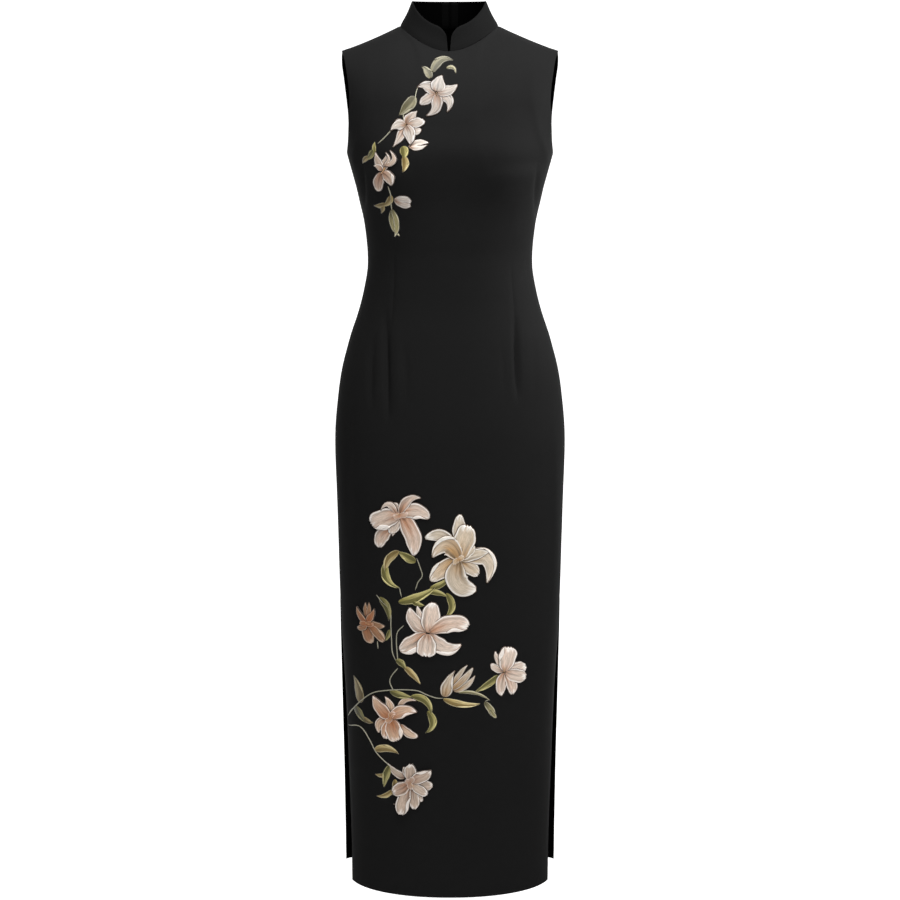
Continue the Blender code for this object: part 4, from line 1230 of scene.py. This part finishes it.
def collar_columns():
    """Neckline, rim, mitre, way across and way outwards, from the centre front round to the zip."""
    halves = [(side, fine_half(side)) for side in (FRONT, BACK)]
    meets = [neckline(side, grid, seam_normals(grid)[0]) for side, grid in halves]
    whole = [np.concatenate([front, back[-2::-1]]) for front, back in zip(*meets)]
    # The collar's end stands at the notch: its first column is read between the centre line and the first
    # column that is well clear of the notch, and takes the place of all before it.
    places = whole[0][:, 0]
    first = int(np.argmax(places > COLLAR_NOTCH * NOTCH_COLUMN_CLEAR))
    share = COLLAR_NOTCH / places[first]
    columns = [np.concatenate([[one[0] + (one[first] - one[0]) * share], one[first:]]) for one in whole]
    neck, rim = columns[:2]
    flare = np.clip(1 - (neck[:, 0] - COLLAR_NOTCH) / NOTCH_FLARE_REACH, 0, 1)
    rim[:, 0] += NOTCH_FLARE * flare * (np.arange(len(neck)) < NECK)
    neck[-1, 0] = rim[-1, 0] = SEWN_GAP
    for values in columns[2:]:
        values[-1, 0] = 0
    return columns


def make_collar(hand_name, hand, sizes, colours):
    """Half of the mandarin collar, from its rounded end at the centre front to the zip."""
    points, rim, mitre, across, out = collar_columns()
    base = points + across * NECK_GAP / 2
    from_end = np.clip(np.maximum.accumulate(rim[:, 0]) - rim[0, 0], 0, COLLAR_CORNER)
    drop = COLLAR_CORNER - np.sqrt(COLLAR_CORNER**2 - (COLLAR_CORNER - from_end) ** 2)
    rise = rim - base
    height = np.linalg.norm(rise, axis=1)
    rise *= (1 - drop / height)[:, None]
    height = height - drop
    shares = (1 - np.cos(np.linspace(0, math.pi, COLLAR_ROWS + 1))[:, None]) / 2
    left = height * (1 - shares)
    rolled = np.clip(1 - left / COLLAR_ROLL_HIGH, 0, 1) ** 2
    marks = -COLLAR_HOLLOW * np.sin(math.pi * shares) - COLLAR_ROLL * rolled
    marks -= COLLAR_LINE_DEPTH * bell(left - COLLAR_EDGE_LINE, COLLAR_LINE_SOFT)
    marks -= NECK_LET_IN * bell(height - left, NECK_SOFT)
    outwards = unit(out)
    outer = base + rise * shares[..., None] + outwards * marks[..., None]
    lifts = np.repeat(outwards[None], COLLAR_ROWS + 1, axis=0)
    lifts[0] = mitre
    inner = outer - lifts * sizes.collar_wall / MM
    outer[:, -1, 0] = inner[:, -1, 0] = SEWN_GAP
    outer, inner = (hung(skin * (hand, 1, 1)) * MM for skin in (outer, inner))
    material = material_of("interfaced black crepe", crepe, colours.collar)
    made = cloth_wall(f"collar_half_{hand_name}", outer, inner, sizes.collar_edge, material)
    settle(made, "collar_crepe", f"collar_{hand_name}")


def zip_line(sizes):
    """Line inside the centre-back seam that the zip follows, from its end up to the collar's rim."""
    back = fine_half(BACK)[:, 0]
    base, rim = back[-1], rim_point(math.pi)
    back = back[back[:, 2] > ZIP_END_Z] - (0, sizes.panel_wall / MM + ZIP_TAPE_INSET, 0)
    shares = np.linspace(*ZIP_COLLAR_SHARES)[:, None]
    collar = base + (rim - base) * shares - (0, sizes.collar_wall / MM + ZIP_TAPE_INSET, 0)
    return np.concatenate([back[:-1], collar])


def make_zip_tapes(sizes, colours):
    """Both tapes, sewn inside the seam and folded back along the coil."""
    line = zip_line(sizes)
    shares = np.linspace(0, 1, ZIP_TAPE_COLUMNS)
    skin = np.stack([line - (0, ZIP_TAPE_CURL * share**2, 0) for share in shares], axis=1)
    faces = shell_faces(*skin.shape[:2])
    shells = []
    for hand in (-1, 1):
        skin[..., 0] = hand * (ZIP_TAPE_GAP + shares * sizes.zip_tape / MM)
        shells += [skin.copy(), skin - (0, ZIP_TAPE_THICK, 0)]
    faces = np.concatenate([faces, faces + 2 * skin[..., 0].size])
    tape = material_of("woven polyester tape", woven_tape, colours.tape)
    settle(mesh_object("zip_tapes", np.array(shells) * MM, faces, tape))


def make_zip_coil(sizes, colours):
    """The zip's coil: one small tooth after another, from left and right in turn, over the cord inside it."""
    line = zip_line(sizes)
    lengths = lengths_along(line)
    tooth = np.array([[x, y, z] for x in (-1, 1) for y in (-1, 1) for z in (-1, 1)]) * TOOTH_HALF
    box = np.array([[0, 1, 3, 2], [4, 6, 7, 5], [0, 4, 5, 1], [2, 3, 7, 6], [0, 2, 6, 4], [1, 5, 7, 3]])
    places = np.arange(0, lengths[-1], ZIP_PITCH / 2)
    points, faces = [], []
    for index, place in enumerate(places):
        centre = np.array([np.interp(place, lengths, line[:, axis]) for axis in range(3)])
        points.append(tooth + centre + (TOOTH_ASIDE if index % 2 else -TOOTH_ASIDE, ZIP_COIL_Y, 0))
        faces.append(box + 8 * index)
    cord = np.stack([line + (x, ZIP_COIL_Y, 0) for x in (-ZIP_CORD_HALF, ZIP_CORD_HALF)], axis=1)
    faces.append(shell_faces(*cord.shape[:2]) + 8 * len(places))
    points += [cord.reshape(-1, 3), cord.reshape(-1, 3) - (0, ZIP_CORD_HALF, 0)]
    tape = material_of("woven polyester tape", woven_tape, colours.tape)
    settle(mesh_object("zip_coil", np.concatenate(points) * MM, np.concatenate(faces), tape))


def finish_slider(colours):
    """The frame's own slider and pull keep their shape and get their enamel."""
    enamel = material_of("black enamel on zinc", black_enamel, colours.enamel)
    for node in ("zip_slider", "zip_pull"):
        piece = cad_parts[node]
        piece.data.materials.clear()
        piece.data.materials.append(enamel)


# ---------------------------------------------------------------- embroidery


def left_of(ways):
    """Ways in the front view, each given a quarter turn to its left."""
    return np.stack([-ways[..., 1], ways[..., 0]], axis=-1)


def bearing(turn):
    return np.array([math.cos(turn), math.sin(turn)])


class Blade:
    """Outline of a petal or leaf: a grid of places in the front view, from root to tip and side to side."""

    def __init__(self, root, tip, width, bow, hook, point, ruffle, phase, columns=BLADE_COLUMNS):
        root, tip = np.array(root, float), np.array(tip, float)
        self.along = np.linspace(*BLADE_ENDS, BLADE_ROWS)
        # Columns lie closer towards both edges, where the colour changes.
        self.across = np.sin(np.linspace(-1, 1, columns) * math.pi / 2)
        way = tip - root
        s = self.along[:, None]
        self.middle = root + way * s + left_of(way) * (bow * 4 * s * (1 - s) + hook * (s**5 - s))
        self.run = unit(np.gradient(self.middle, axis=0))
        self.aside = left_of(self.run)
        self.length = float(np.linalg.norm(way))
        belly = ROOT_POWER / (ROOT_POWER + point)
        swell = (self.along / belly) ** ROOT_POWER * ((1 - self.along) / (1 - belly)) ** point
        wavers = zip(EDGE_WAVES, (phase * 2, phase))
        self.half = np.stack(
            [width / 2 * swell * (1 + ruffle * np.sin(self.along * wave + start)) for wave, start in wavers]
        )
        frill = FRILL if point <= FRILLED_POINT else 0
        self.frill = frill * np.sin(self.across * SCALLOPS + phase) * s**4

    def reach(self, wider=0.0):
        """How far each grid point lies from the middle line, less than 0 on the right."""
        right, left = self.half + wider
        return np.where(self.across < 0, right[:, None], left[:, None]) * self.across

    def places(self, wider=0.0):
        """Places of the grid, or of the same grid made wider and longer all round."""
        middle = self.middle.copy()
        middle[-1] += self.run[-1] * wider
        on = self.run[:, None] * self.frill[..., None]
        return middle[:, None] + self.aside[:, None] * self.reach(wider)[..., None] + on

    def stitches(self):
        """How far each grid point lies along and across the stitches, in millimetres."""
        return self.along[:, None] * self.length, self.reach()


# What a petal, leaf or strand is worked with: the embroidery it joins, the sizes, its silk and its gain
Needle = namedtuple("Needle", "work sizes silk gain")


class Embroidery:
    """Collects the shells of one kind of stitching and lays them on the cloth as one mesh."""

    def __init__(self, cloth):
        self.cloth = cloth
        self.points, self.faces, self.stitches, self.threads = [], [], [], []
        self.count = 0

    def add(self, places, heights, stitches, threads):
        """One closed shell: its top raised over the cloth by the heights, its underside just inside it."""
        shape = places.shape[:2]
        top, under = [], []
        heights = np.broadcast_to(heights, shape).ravel() * MM
        for (x, z), height in zip(places.reshape(-1, 2) * MM, heights):
            hit, normal, _, _ = self.cloth.ray_cast(Vector((x, -1, z)), Vector((0, 1, 0)))
            if hit is None:
                raise RuntimeError(f"No cloth under the stitching at {x / MM:.0f}, {z / MM:.0f}")
            out = normal if normal.y < 0 else -normal
            top.append(hit + out * height)
            under.append(hit - out * SUNK * MM)
        self.points += [np.array(top), np.array(under)]
        self.faces.append(shell_faces(*shape) + self.count)
        flat = np.stack([np.broadcast_to(part, shape) for part in stitches], axis=-1)
        self.stitches += [flat.reshape(-1, 2) * MM] * 2
        self.threads += [np.broadcast_to(threads, (*shape, 3)).reshape(-1, 3)] * 2
        self.count += 2 * math.prod(shape)

    def make(self, name, material):
        made = mesh_object(name, np.concatenate(self.points), np.concatenate(self.faces), material)
        data = made.data
        corners = np.empty(len(data.loops), np.int32)
        data.loops.foreach_get("vertex_index", corners)
        flat = np.concatenate(self.stitches)[corners].astype(np.float32)
        data.uv_layers.new(name="stitch").data.foreach_set("uv", flat.ravel())
        threads = np.concatenate(self.threads)
        threads = np.concatenate([threads, np.ones((len(threads), 1))], axis=1).astype(np.float32)
        data.attributes.new("thread", "FLOAT_COLOR", "POINT").data.foreach_set("color", threads.ravel())
        settle(made)


def petal_threads(blade, needle, tone, rng):
    """Thread colours of a petal: deep at the heart, streaked, and pale at the edge beside a thin shade."""
    heart, body, edge = (linear(code) for code in needle.silk[:3])
    columns = len(blade.across)
    along = blade.along[:, None] + rng.uniform(-THREAD_START, THREAD_START, columns)
    across = np.abs(blade.across)[None]
    dyed = DYE * (1 - ease(along / (DYE_REACH + (1 - DYE_REACH) * tone))) + DYE_BY_TONE * tone
    inside = (across < EDGE_SHARE) * ease(1.2 - along)
    streak = ease(rng.uniform(-0.9, 1.0, columns)) * inside
    threads = mix(body, heart, np.clip(dyed * (1 - DYE_FADE * across) + DYE_STREAK * streak, 0, 1))
    streak = ease(rng.uniform(-1.6, 1.0, columns)) * inside
    vein = bell(across, VEIN_WIDE) * (1 - along)
    shade = DARK_STREAK * streak + DARK_LINE * bell(across - LINE_AT, LINE_WIDE)
    shade = shade + DARK_VEIN * vein + DARK_ROOT * ease(1 - along / ROOT_REACH)
    threads = threads * (1 - np.clip(shade, 0, 1))[..., None]
    beside = ease((across - EDGE_SHARE + 0.06) / 0.1) * ease(along / 0.22)
    pale = (0.95 - 0.2 * tone) * np.maximum(beside, ease((along - 0.86) / 0.1))
    return mix(threads, edge, pale) * needle.gain * rng.uniform(0.92, 1.05)


def leaf_threads(blade, needle, rng):
    """Thread colours of a leaf: dark along the vein, one half lighter than the other, and a pale edge."""
    heart, body, edge = (linear(code) for code in needle.silk[:3])
    along = blade.along[:, None] + rng.uniform(-THREAD_START, THREAD_START, len(blade.across))
    across = blade.across[None]
    lit = ease(0.5 + across * LEAF_TURN)
    least, more_lit, more_on = LEAF_BODY
    threads = mix(heart, body, np.clip(least + more_lit * lit + more_on * along, 0, 1))
    threads = mix(threads, edge, LEAF_LIT * lit * ease(along * 1.6))
    threads = mix(threads, heart, LEAF_VEIN * bell(across, LEAF_VEIN_WIDE) * (1 - 0.5 * along))
    rim = ease((np.abs(across) - 0.80) / 0.12) * ease(along / 0.15)
    return mix(threads, edge, LEAF_RIM * rim) * needle.gain


def crowned(blade, lift, crown, vein):
    """Height of each point of a petal or leaf over the cloth."""
    arch = np.sin(math.pi * blade.along[:, None])
    rise = (1 - np.abs(blade.across) ** CROWN_FLAT) * arch**CROWN_BLUNT
    return lift + crown * rise - vein * bell(blade.across, GROOVE_WIDE) * arch**GROOVE_BLUNT


def add_blade(needle, blade, lift, crown, threads):
    """One petal or leaf over a slightly wider dark rim, painted shadow that shows round its edge."""
    sizes = needle.sizes
    along, across = blade.stitches()
    # Painted shadow: a dark, slightly wider copy under the blade shows round its edge as its shade on what
    # lies below
    wide = blade.places(sizes.outline / MM)[:, ::2]
    needle.work.add(wide, lift - SHADOW_RIM_SUNK, (along, across[:, ::2]), linear(needle.silk.outline))
    needle.work.add(blade.places(), crowned(blade, lift, crown, sizes.vein / MM), (along, across), threads)


def add_lap(needle, blade, side, start, depth, height):
    """The turned-over edge of a petal: a pale crescent along one side, over its own line of shadow."""
    silk, gain = needle.silk, needle.gain
    keep = blade.along >= start
    s = blade.along[keep]
    share = (s - start) / (blade.along[-1] - start)
    open_to = depth * np.sin(math.pi * np.clip(share, 0.02, 0.98)) ** LAP_TAPER
    half = blade.half[1 if side > 0 else 0][keep]
    columns = np.linspace(0, 1, LAP_COLUMNS)
    shadow = mix(linear(silk.outline), linear(silk.heart), LAP_SHADE) * gain
    pale = mix(linear(silk.edge), linear(silk.body), LAP_FADE * columns) * gain
    swell = height + LAP_LIFT + LAP_SWELL * np.sin(math.pi * (0.15 + 0.85 * columns))
    wider = needle.sizes.outline / MM / np.maximum(half, 1)
    for inner, heights, threads in (
        (1 - open_to - wider, height + LAP_SHADOW_LIFT, shadow),
        (1 - open_to, swell, pale),
    ):
        at = (inner[:, None] + (LAP_OVER_EDGE - inner)[:, None] * columns) * half[:, None]
        places = blade.middle[keep][:, None] + blade.aside[keep][:, None] * (side * at)[..., None]
        needle.work.add(places, heights, (s[:, None] * blade.length, at), threads)


def add_knot(needle, x, z, lift):
    """A French knot: a small round boss, painted paler on top and darker round its foot, as light and shade
    on a dome.
    """
    ends = (x - KNOT_SIZE / 2, z), (x + KNOT_SIZE / 2, z)
    blade = Blade(*ends, KNOT_SIZE, 0, 0, 0.5, 0, 0, KNOT_COLUMNS)
    rise = np.sqrt(np.clip(1 - blade.across**2, 0, 1)) * np.sin(math.pi * blade.along[::3, None])
    # Painted light and shade: the colour follows the knot's height, paler where it is highest
    threads = mix(linear(needle.silk.heart), linear(needle.silk.edge), rise) * needle.gain * KNOT_GAIN
    stitches = (part[::3] for part in blade.stitches())
    needle.work.add(blade.places()[::3], lift + KNOT_HIGH * rise, stitches, threads)


def curve_through(points, step):
    """Places about a step apart on a smooth curve through the points."""
    points = np.array(points, float)
    padded = np.concatenate([2 * points[:1] - points[1:2], points, 2 * points[-1:] - points[-2:-1]])
    line = []
    for a, b, c, d in zip(padded, padded[1:], padded[2:], padded[3:]):
        count = max(int(np.linalg.norm(c - b) / step), 1)
        for t in np.linspace(0, 1, count, endpoint=False):
            line.append(spline(a, b, c, d, t))
    return np.array(line + [points[-1]])


def add_strand(needle, line, radius, lift):
    """A stem or stamen: a couched strand, half sunk in the cloth, tapering to both ends, with one flank
    painted darker and the other paler, as shade and light on a round strand.
    """
    share = np.linspace(0, 1, len(line))
    taper = np.clip(np.minimum(share, 1 - share) * STRAND_SWELL + STRAND_TIP, 0, 1)[:, None] * radius
    across = np.cos(np.linspace(math.pi, 0, TUBE_SIDES))
    aside = left_of(unit(np.gradient(line, axis=0)))
    places = line[:, None] + aside[:, None] * (taper * across)[..., None]
    heights = lift + taper * np.sqrt(np.clip(1 - across**2, 0, 1)) * STRAND_HIGH
    stitches = lengths_along(line)[:, None], taper * across
    # Painted shade and light: the colour runs from dark on the right flank to pale on the left
    threads = mix(linear(needle.silk.body), linear(needle.silk.edge), ease(across * 0.5 + 0.5))
    needle.work.add(places, heights, stitches, threads * needle.gain)


def add_blossom(petals, strands, blossom, sizes, rng):
    """A blossom or bud: its petals one over another, and short stamens with knots at its heart."""
    silk = SILKS[blossom.silk]
    needle = Needle(petals, sizes, silk, blossom.gain)
    heart = np.array([blossom.x, blossom.z], float)
    base, layer, crown = sizes.lift / MM, sizes.layer / MM, sizes.crown / MM
    for index, petal in enumerate(blossom.petals):
        way = np.array([petal.x, petal.z], float)
        lift = base + index * layer
        curve = petal.width, petal.bow, petal.hook, petal.point
        blade = Blade(heart + way * petal.start, heart + way, *curve, PETAL_RUFFLE, rng.uniform(0, 6))
        add_blade(needle, blade, lift, crown, petal_threads(blade, needle, petal.tone, rng))
        if petal.lap:
            start, open_to = rng.uniform(0.30, 0.45), rng.uniform(0.40, 0.60)
            add_lap(needle, blade, petal.lap, start, open_to, lift + crown * LAP_CROWN)
    top = base + len(blossom.petals) * layer
    for turn in rng.uniform(0, 1) + np.arange(blossom.ruffles) * math.tau / max(blossom.ruffles, 1):
        way = bearing(turn) * RUFFLE_LENGTH * rng.uniform(0.8, 1.25)
        bow, hook = rng.uniform(-0.2, 0.2, 2)
        ends = heart - way * RUFFLE_BEHIND, heart + way
        blade = Blade(*ends, RUFFLE_WIDTH, bow, hook, *RUFFLE_CURVE, rng.uniform(0, 6))
        threads = petal_threads(blade, needle, RUFFLE_TONE, rng)
        threads = mix(threads, linear(silk.heart) * blossom.gain, RUFFLE_DYE)
        petals.add(blade.places(), crowned(blade, top, crown, sizes.vein / MM), blade.stitches(), threads)
    top += layer
    gold = Needle(strands, sizes, SILKS["stamen"], blossom.gain)
    for _ in range(blossom.knots):
        turn = rng.uniform(0, math.tau)
        end = heart + bearing(turn) * STAMEN_LENGTH * rng.uniform(0.5, 1)
        bend = (heart + end) / 2 + rng.uniform(-1, 1, 2)
        add_strand(gold, curve_through([heart, bend, end], STAMEN_STEP), sizes.stamen / MM, top)
        add_knot(gold, *(heart + rng.uniform(-HEART_SPREAD, HEART_SPREAD, 2)), top)


def add_leaf(leaves, leaf, sizes, rng):
    needle = Needle(leaves, sizes, SILKS[leaf.silk], leaf.gain)
    ends = (leaf.x, leaf.z), (leaf.tip_x, leaf.tip_z)
    blade = Blade(*ends, leaf.width, leaf.bow, leaf.hook, LEAF_POINT, LEAF_RUFFLE, rng.uniform(0, 6))
    lift, crown = sizes.lift / MM, sizes.leaf_crown / MM
    add_blade(needle, blade, lift, crown, leaf_threads(blade, needle, rng))
    if leaf.width > LAPPED_LEAF:
        add_lap(needle, blade, 1 if leaf.bow > 0 else -1, *LEAF_LAP, lift + crown * LAP_CROWN)


def make_spray(spray, sizes):
    """The blossoms, leaves and stems of one spray, each kind in one mesh."""
    front = bpy.data.objects.get("front_panel")
    if front is None:
        raise RuntimeError("The front panel comes before its embroidery")
    data = front.data
    cloth = BVHTree.FromPolygons([v.co for v in data.vertices], [p.vertices for p in data.polygons])
    satin = material_of("satin-stitched silk", silk_thread, SILK_STITCH, SILK_STRAND, 0)
    stem = material_of("stem-stitched silk", silk_thread, STEM_STITCH * MM, STEM_STRAND * MM, STEM_TWIST)
    rng = np.random.default_rng(len(spray.leaves))
    petals, leaves, strands = Embroidery(cloth), Embroidery(cloth), Embroidery(cloth)
    green = Needle(strands, sizes, SILKS["stem"], 1.0)
    for points in spray.stems:
        add_strand(green, curve_through(points, STEM_STEP), sizes.stem / MM, 0.0)
    for leaf in spray.leaves:
        add_leaf(leaves, leaf, sizes, rng)
    for blossom in spray.blossoms:
        add_blossom(petals, strands, blossom, sizes, rng)
    petals.make(f"{spray.name}_blossoms", satin)
    leaves.make(f"{spray.name}_leaves", satin)
    strands.make(f"{spray.name}_stems", stem)


# ---------------------------------------------------------------- the cut of each sheet

# Flat width, length and area of each cut piece, in metres and square metres, without seam allowances
Cut = namedtuple("Cut", "piece width length area")
CUTS = (
    Cut("front_panel", 0.442, 1.325, 0.497),
    Cut("back_panel_left", 0.238, 1.315, 0.259),
    Cut("back_panel_right", 0.238, 1.315, 0.259),
    Cut("collar_half_left", 0.208, 0.048, 0.0070),
    Cut("collar_half_right", 0.208, 0.048, 0.0070),
)


def declare_sheets():
    """Check that every cloth piece in the table of cuts has been made."""
    for cut in CUTS:
        piece = bpy.data.objects.get(cut.piece)
        if piece is None:
            raise RuntimeError(f"{cut.piece} hasn't been made")


# ---------------------------------------------------------------- stage

CAMERA_PLACE = (0.0, -3.3, -0.05)
CAMERA_PITCH = 9.7
CAMERA_LENS = 90.88
SWEEP_HALF = 9.0
GLOW_FROM, GLOW_FULL = 0.0, 0.3  # how far behind the dress the paper begins to glow, and glows fully
SWEEP_BACK = 7.0
SWEEP_RISE = 7.0
SWEEP_CURVE = 3.0
SWEEP_FACETS = 16

# A softbox stands at its place and faces its target, in metres. Its panel is so wide and high, and its grid
# lets light out over so many degrees.
Softbox = namedtuple("Softbox", "name place target wide high grid")
SOFTBOXES = (
    Softbox("overhead", (0.0, -0.60, 0.90), (0, -0.05, 0), 0.9, 0.6, 180),
    Softbox("front", (0.88, -2.1, 0.16), (0, 0, -0.45), 1.0, 0.8, 180),
    Softbox("left", (-2.1, 0.1, -0.1), (0, 0, -0.5), 0.5, 2.4, 180),
    Softbox("right", (1.3, 0.1, 0.1), (0, 0, -0.2), 0.4, 0.6, 80),
)


def make_sweep(stage, colours):
    """Paper floor that curves up into the backdrop."""
    bpy.ops.object.select_all(action="DESELECT")
    middle = (0, SWEEP_BACK - SWEEP_HALF, stage.floor_z)
    bpy.ops.mesh.primitive_plane_add(size=2 * SWEEP_HALF, location=middle)
    sweep = bpy.context.object
    sweep.name = "paper_sweep"
    bpy.ops.object.transform_apply(location=True, rotation=True, scale=True)
    bpy.ops.object.mode_set(mode="EDIT")
    work = bmesh.from_edit_mesh(sweep.data)
    for edge in work.edges:
        edge.select_set(all(abs(v.co.y - SWEEP_BACK) < MM for v in edge.verts))
    bmesh.update_edit_mesh(sweep.data)
    bpy.ops.mesh.select_mode(type="EDGE")
    bpy.ops.mesh.extrude_edges_move(TRANSFORM_OT_translate={"value": (0, 0, SWEEP_RISE)})
    work = bmesh.from_edit_mesh(sweep.data)
    for edge in work.edges:
        edge.select_set(all(abs(v.co.y - SWEEP_BACK) + abs(v.co.z - stage.floor_z) < MM for v in edge.verts))
    bmesh.update_edit_mesh(sweep.data)
    bpy.ops.mesh.bevel(offset=SWEEP_CURVE, segments=SWEEP_FACETS, profile=0.5, affect="EDGES")
    bpy.ops.object.mode_set(mode="OBJECT")
    sweep.data.shade_smooth()
    sweep.data.materials.append(material_of("studio paper", sweep_paper, colours.sweep, stage.glow))
    sweep.select_set(False)


def make_lights(stage):
    for box in SOFTBOXES:
        data = bpy.data.lights.new(box.name, "AREA")
        data.shape = "RECTANGLE"
        data.size, data.size_y = box.wide, box.high
        data.energy = getattr(stage, box.name)
        data.spread = math.radians(box.grid)
        lamp = bpy.data.objects.new(f"softbox_{box.name}", data)
        lamp.visible_camera = False
        lamp.location = box.place
        lamp.rotation_euler = (Vector(box.target) - Vector(box.place)).to_track_quat("-Z", "Y").to_euler()
        bpy.context.scene.collection.objects.link(lamp)
    world = bpy.data.worlds.new("white room")
    world.use_nodes = True
    surround = world.node_tree.nodes["Background"]
    surround.inputs["Color"].default_value = (1, 1, 1, 1)
    surround.inputs["Strength"].default_value = stage.surround
    bpy.context.scene.world = world


def make_camera():
    data = bpy.data.cameras.new("camera")
    data.lens = CAMERA_LENS
    camera = bpy.data.objects.new("camera", data)
    camera.location = CAMERA_PLACE
    camera.rotation_euler = (math.radians(90 - CAMERA_PITCH), 0, 0)
    bpy.context.scene.collection.objects.link(camera)
    bpy.context.scene.camera = camera


# ---------------------------------------------------------------- operators and panel

HANDS = {"left": 1, "right": -1}


def cloth_of(context):
    return context.scene.cheongsam_cloth, context.scene.cheongsam_colours


class CHEONGSAM_OT_front(bpy.types.Operator):
    """Make the front panel, with its darts and folds"""

    bl_idname = "cheongsam.front"
    bl_label = "Front panel"

    def execute(self, context):
        make_front(*cloth_of(context))
        return {"FINISHED"}


class CHEONGSAM_OT_back(bpy.types.Operator):
    """Make both halves of the back, which meet at the zip"""

    bl_idname = "cheongsam.back"
    bl_label = "Back panels"

    def execute(self, context):
        for name, hand in HANDS.items():
            make_back(name, hand, *cloth_of(context))
        return {"FINISHED"}


class CHEONGSAM_OT_collar(bpy.types.Operator):
    """Make both halves of the mandarin collar"""

    bl_idname = "cheongsam.collar"
    bl_label = "Mandarin collar"

    def execute(self, context):
        for name, hand in HANDS.items():
            make_collar(name, hand, *cloth_of(context))
        return {"FINISHED"}


class CHEONGSAM_OT_zip(bpy.types.Operator):
    """Make the concealed zip's tapes and coil, and enamel its slider and pull"""

    bl_idname = "cheongsam.zip"
    bl_label = "Concealed zip"

    def execute(self, context):
        make_zip_tapes(*cloth_of(context))
        make_zip_coil(*cloth_of(context))
        finish_slider(context.scene.cheongsam_colours)
        return {"FINISHED"}


class CHEONGSAM_OT_chest_spray(bpy.types.Operator):
    """Embroider the spray that falls from the neck over the chest"""

    bl_idname = "cheongsam.chest_spray"
    bl_label = "Chest spray"

    def execute(self, context):
        make_spray(CHEST, context.scene.cheongsam_stitches)
        return {"FINISHED"}


class CHEONGSAM_OT_skirt_spray(bpy.types.Operator):
    """Embroider the spray that climbs the skirt from the slit"""

    bl_idname = "cheongsam.skirt_spray"
    bl_label = "Skirt spray"

    def execute(self, context):
        make_spray(SKIRT, context.scene.cheongsam_stitches)
        return {"FINISHED"}


class CHEONGSAM_OT_cut(bpy.types.Operator):
    """Check that every cloth piece in the table of cuts has been made"""

    bl_idname = "cheongsam.cut"
    bl_label = "Cut of the cloth"

    def execute(self, context):
        declare_sheets()
        return {"FINISHED"}


class CHEONGSAM_OT_stage(bpy.types.Operator):
    """Make the paper sweep, the soft lights and the camera"""

    bl_idname = "cheongsam.stage"
    bl_label = "Stage"

    def execute(self, context):
        stage = context.scene.cheongsam_stage
        make_sweep(stage, context.scene.cheongsam_colours)
        make_lights(stage)
        make_camera()
        context.scene.view_settings.view_transform = "Standard"
        return {"FINISHED"}


STEPS = (
    CHEONGSAM_OT_front,
    CHEONGSAM_OT_back,
    CHEONGSAM_OT_collar,
    CHEONGSAM_OT_zip,
    CHEONGSAM_OT_chest_spray,
    CHEONGSAM_OT_skirt_spray,
    CHEONGSAM_OT_cut,
    CHEONGSAM_OT_stage,
)


class CHEONGSAM_PT_panel(bpy.types.Panel):
    """Sizes, colours and steps of the cheongsam"""

    bl_idname = "CHEONGSAM_PT_panel"
    bl_label = "Cheongsam"
    bl_space_type = "VIEW_3D"
    bl_region_type = "UI"
    bl_category = "Cheongsam"

    def draw(self, context):
        for group in GROUPS:
            values = getattr(context.scene, group)
            column = self.layout.column(align=True)
            for name in values.__annotations__:
                column.prop(values, name)
        for step in STEPS:
            self.layout.operator(step.bl_idname)


GROUPS = {
    "cheongsam_cloth": ClothSizes,
    "cheongsam_stitches": StitchSizes,
    "cheongsam_colours": CheongsamColours,
    "cheongsam_stage": StageSizes,
}


def register():
    for made in (*GROUPS.values(), *STEPS, CHEONGSAM_PT_panel):
        bpy.utils.register_class(made)
    for name, group in GROUPS.items():
        setattr(bpy.types.Scene, name, PointerProperty(type=group))


def unregister():
    for name in GROUPS:
        delattr(bpy.types.Scene, name)
    for made in (CHEONGSAM_PT_panel, *reversed(STEPS), *GROUPS.values()):
        bpy.utils.unregister_class(made)


def main():
    register()
    for step in STEPS:
        area, name = step.bl_idname.split(".")
        getattr(getattr(bpy.ops, area), name)()


if __name__ == "__main__":
    main()
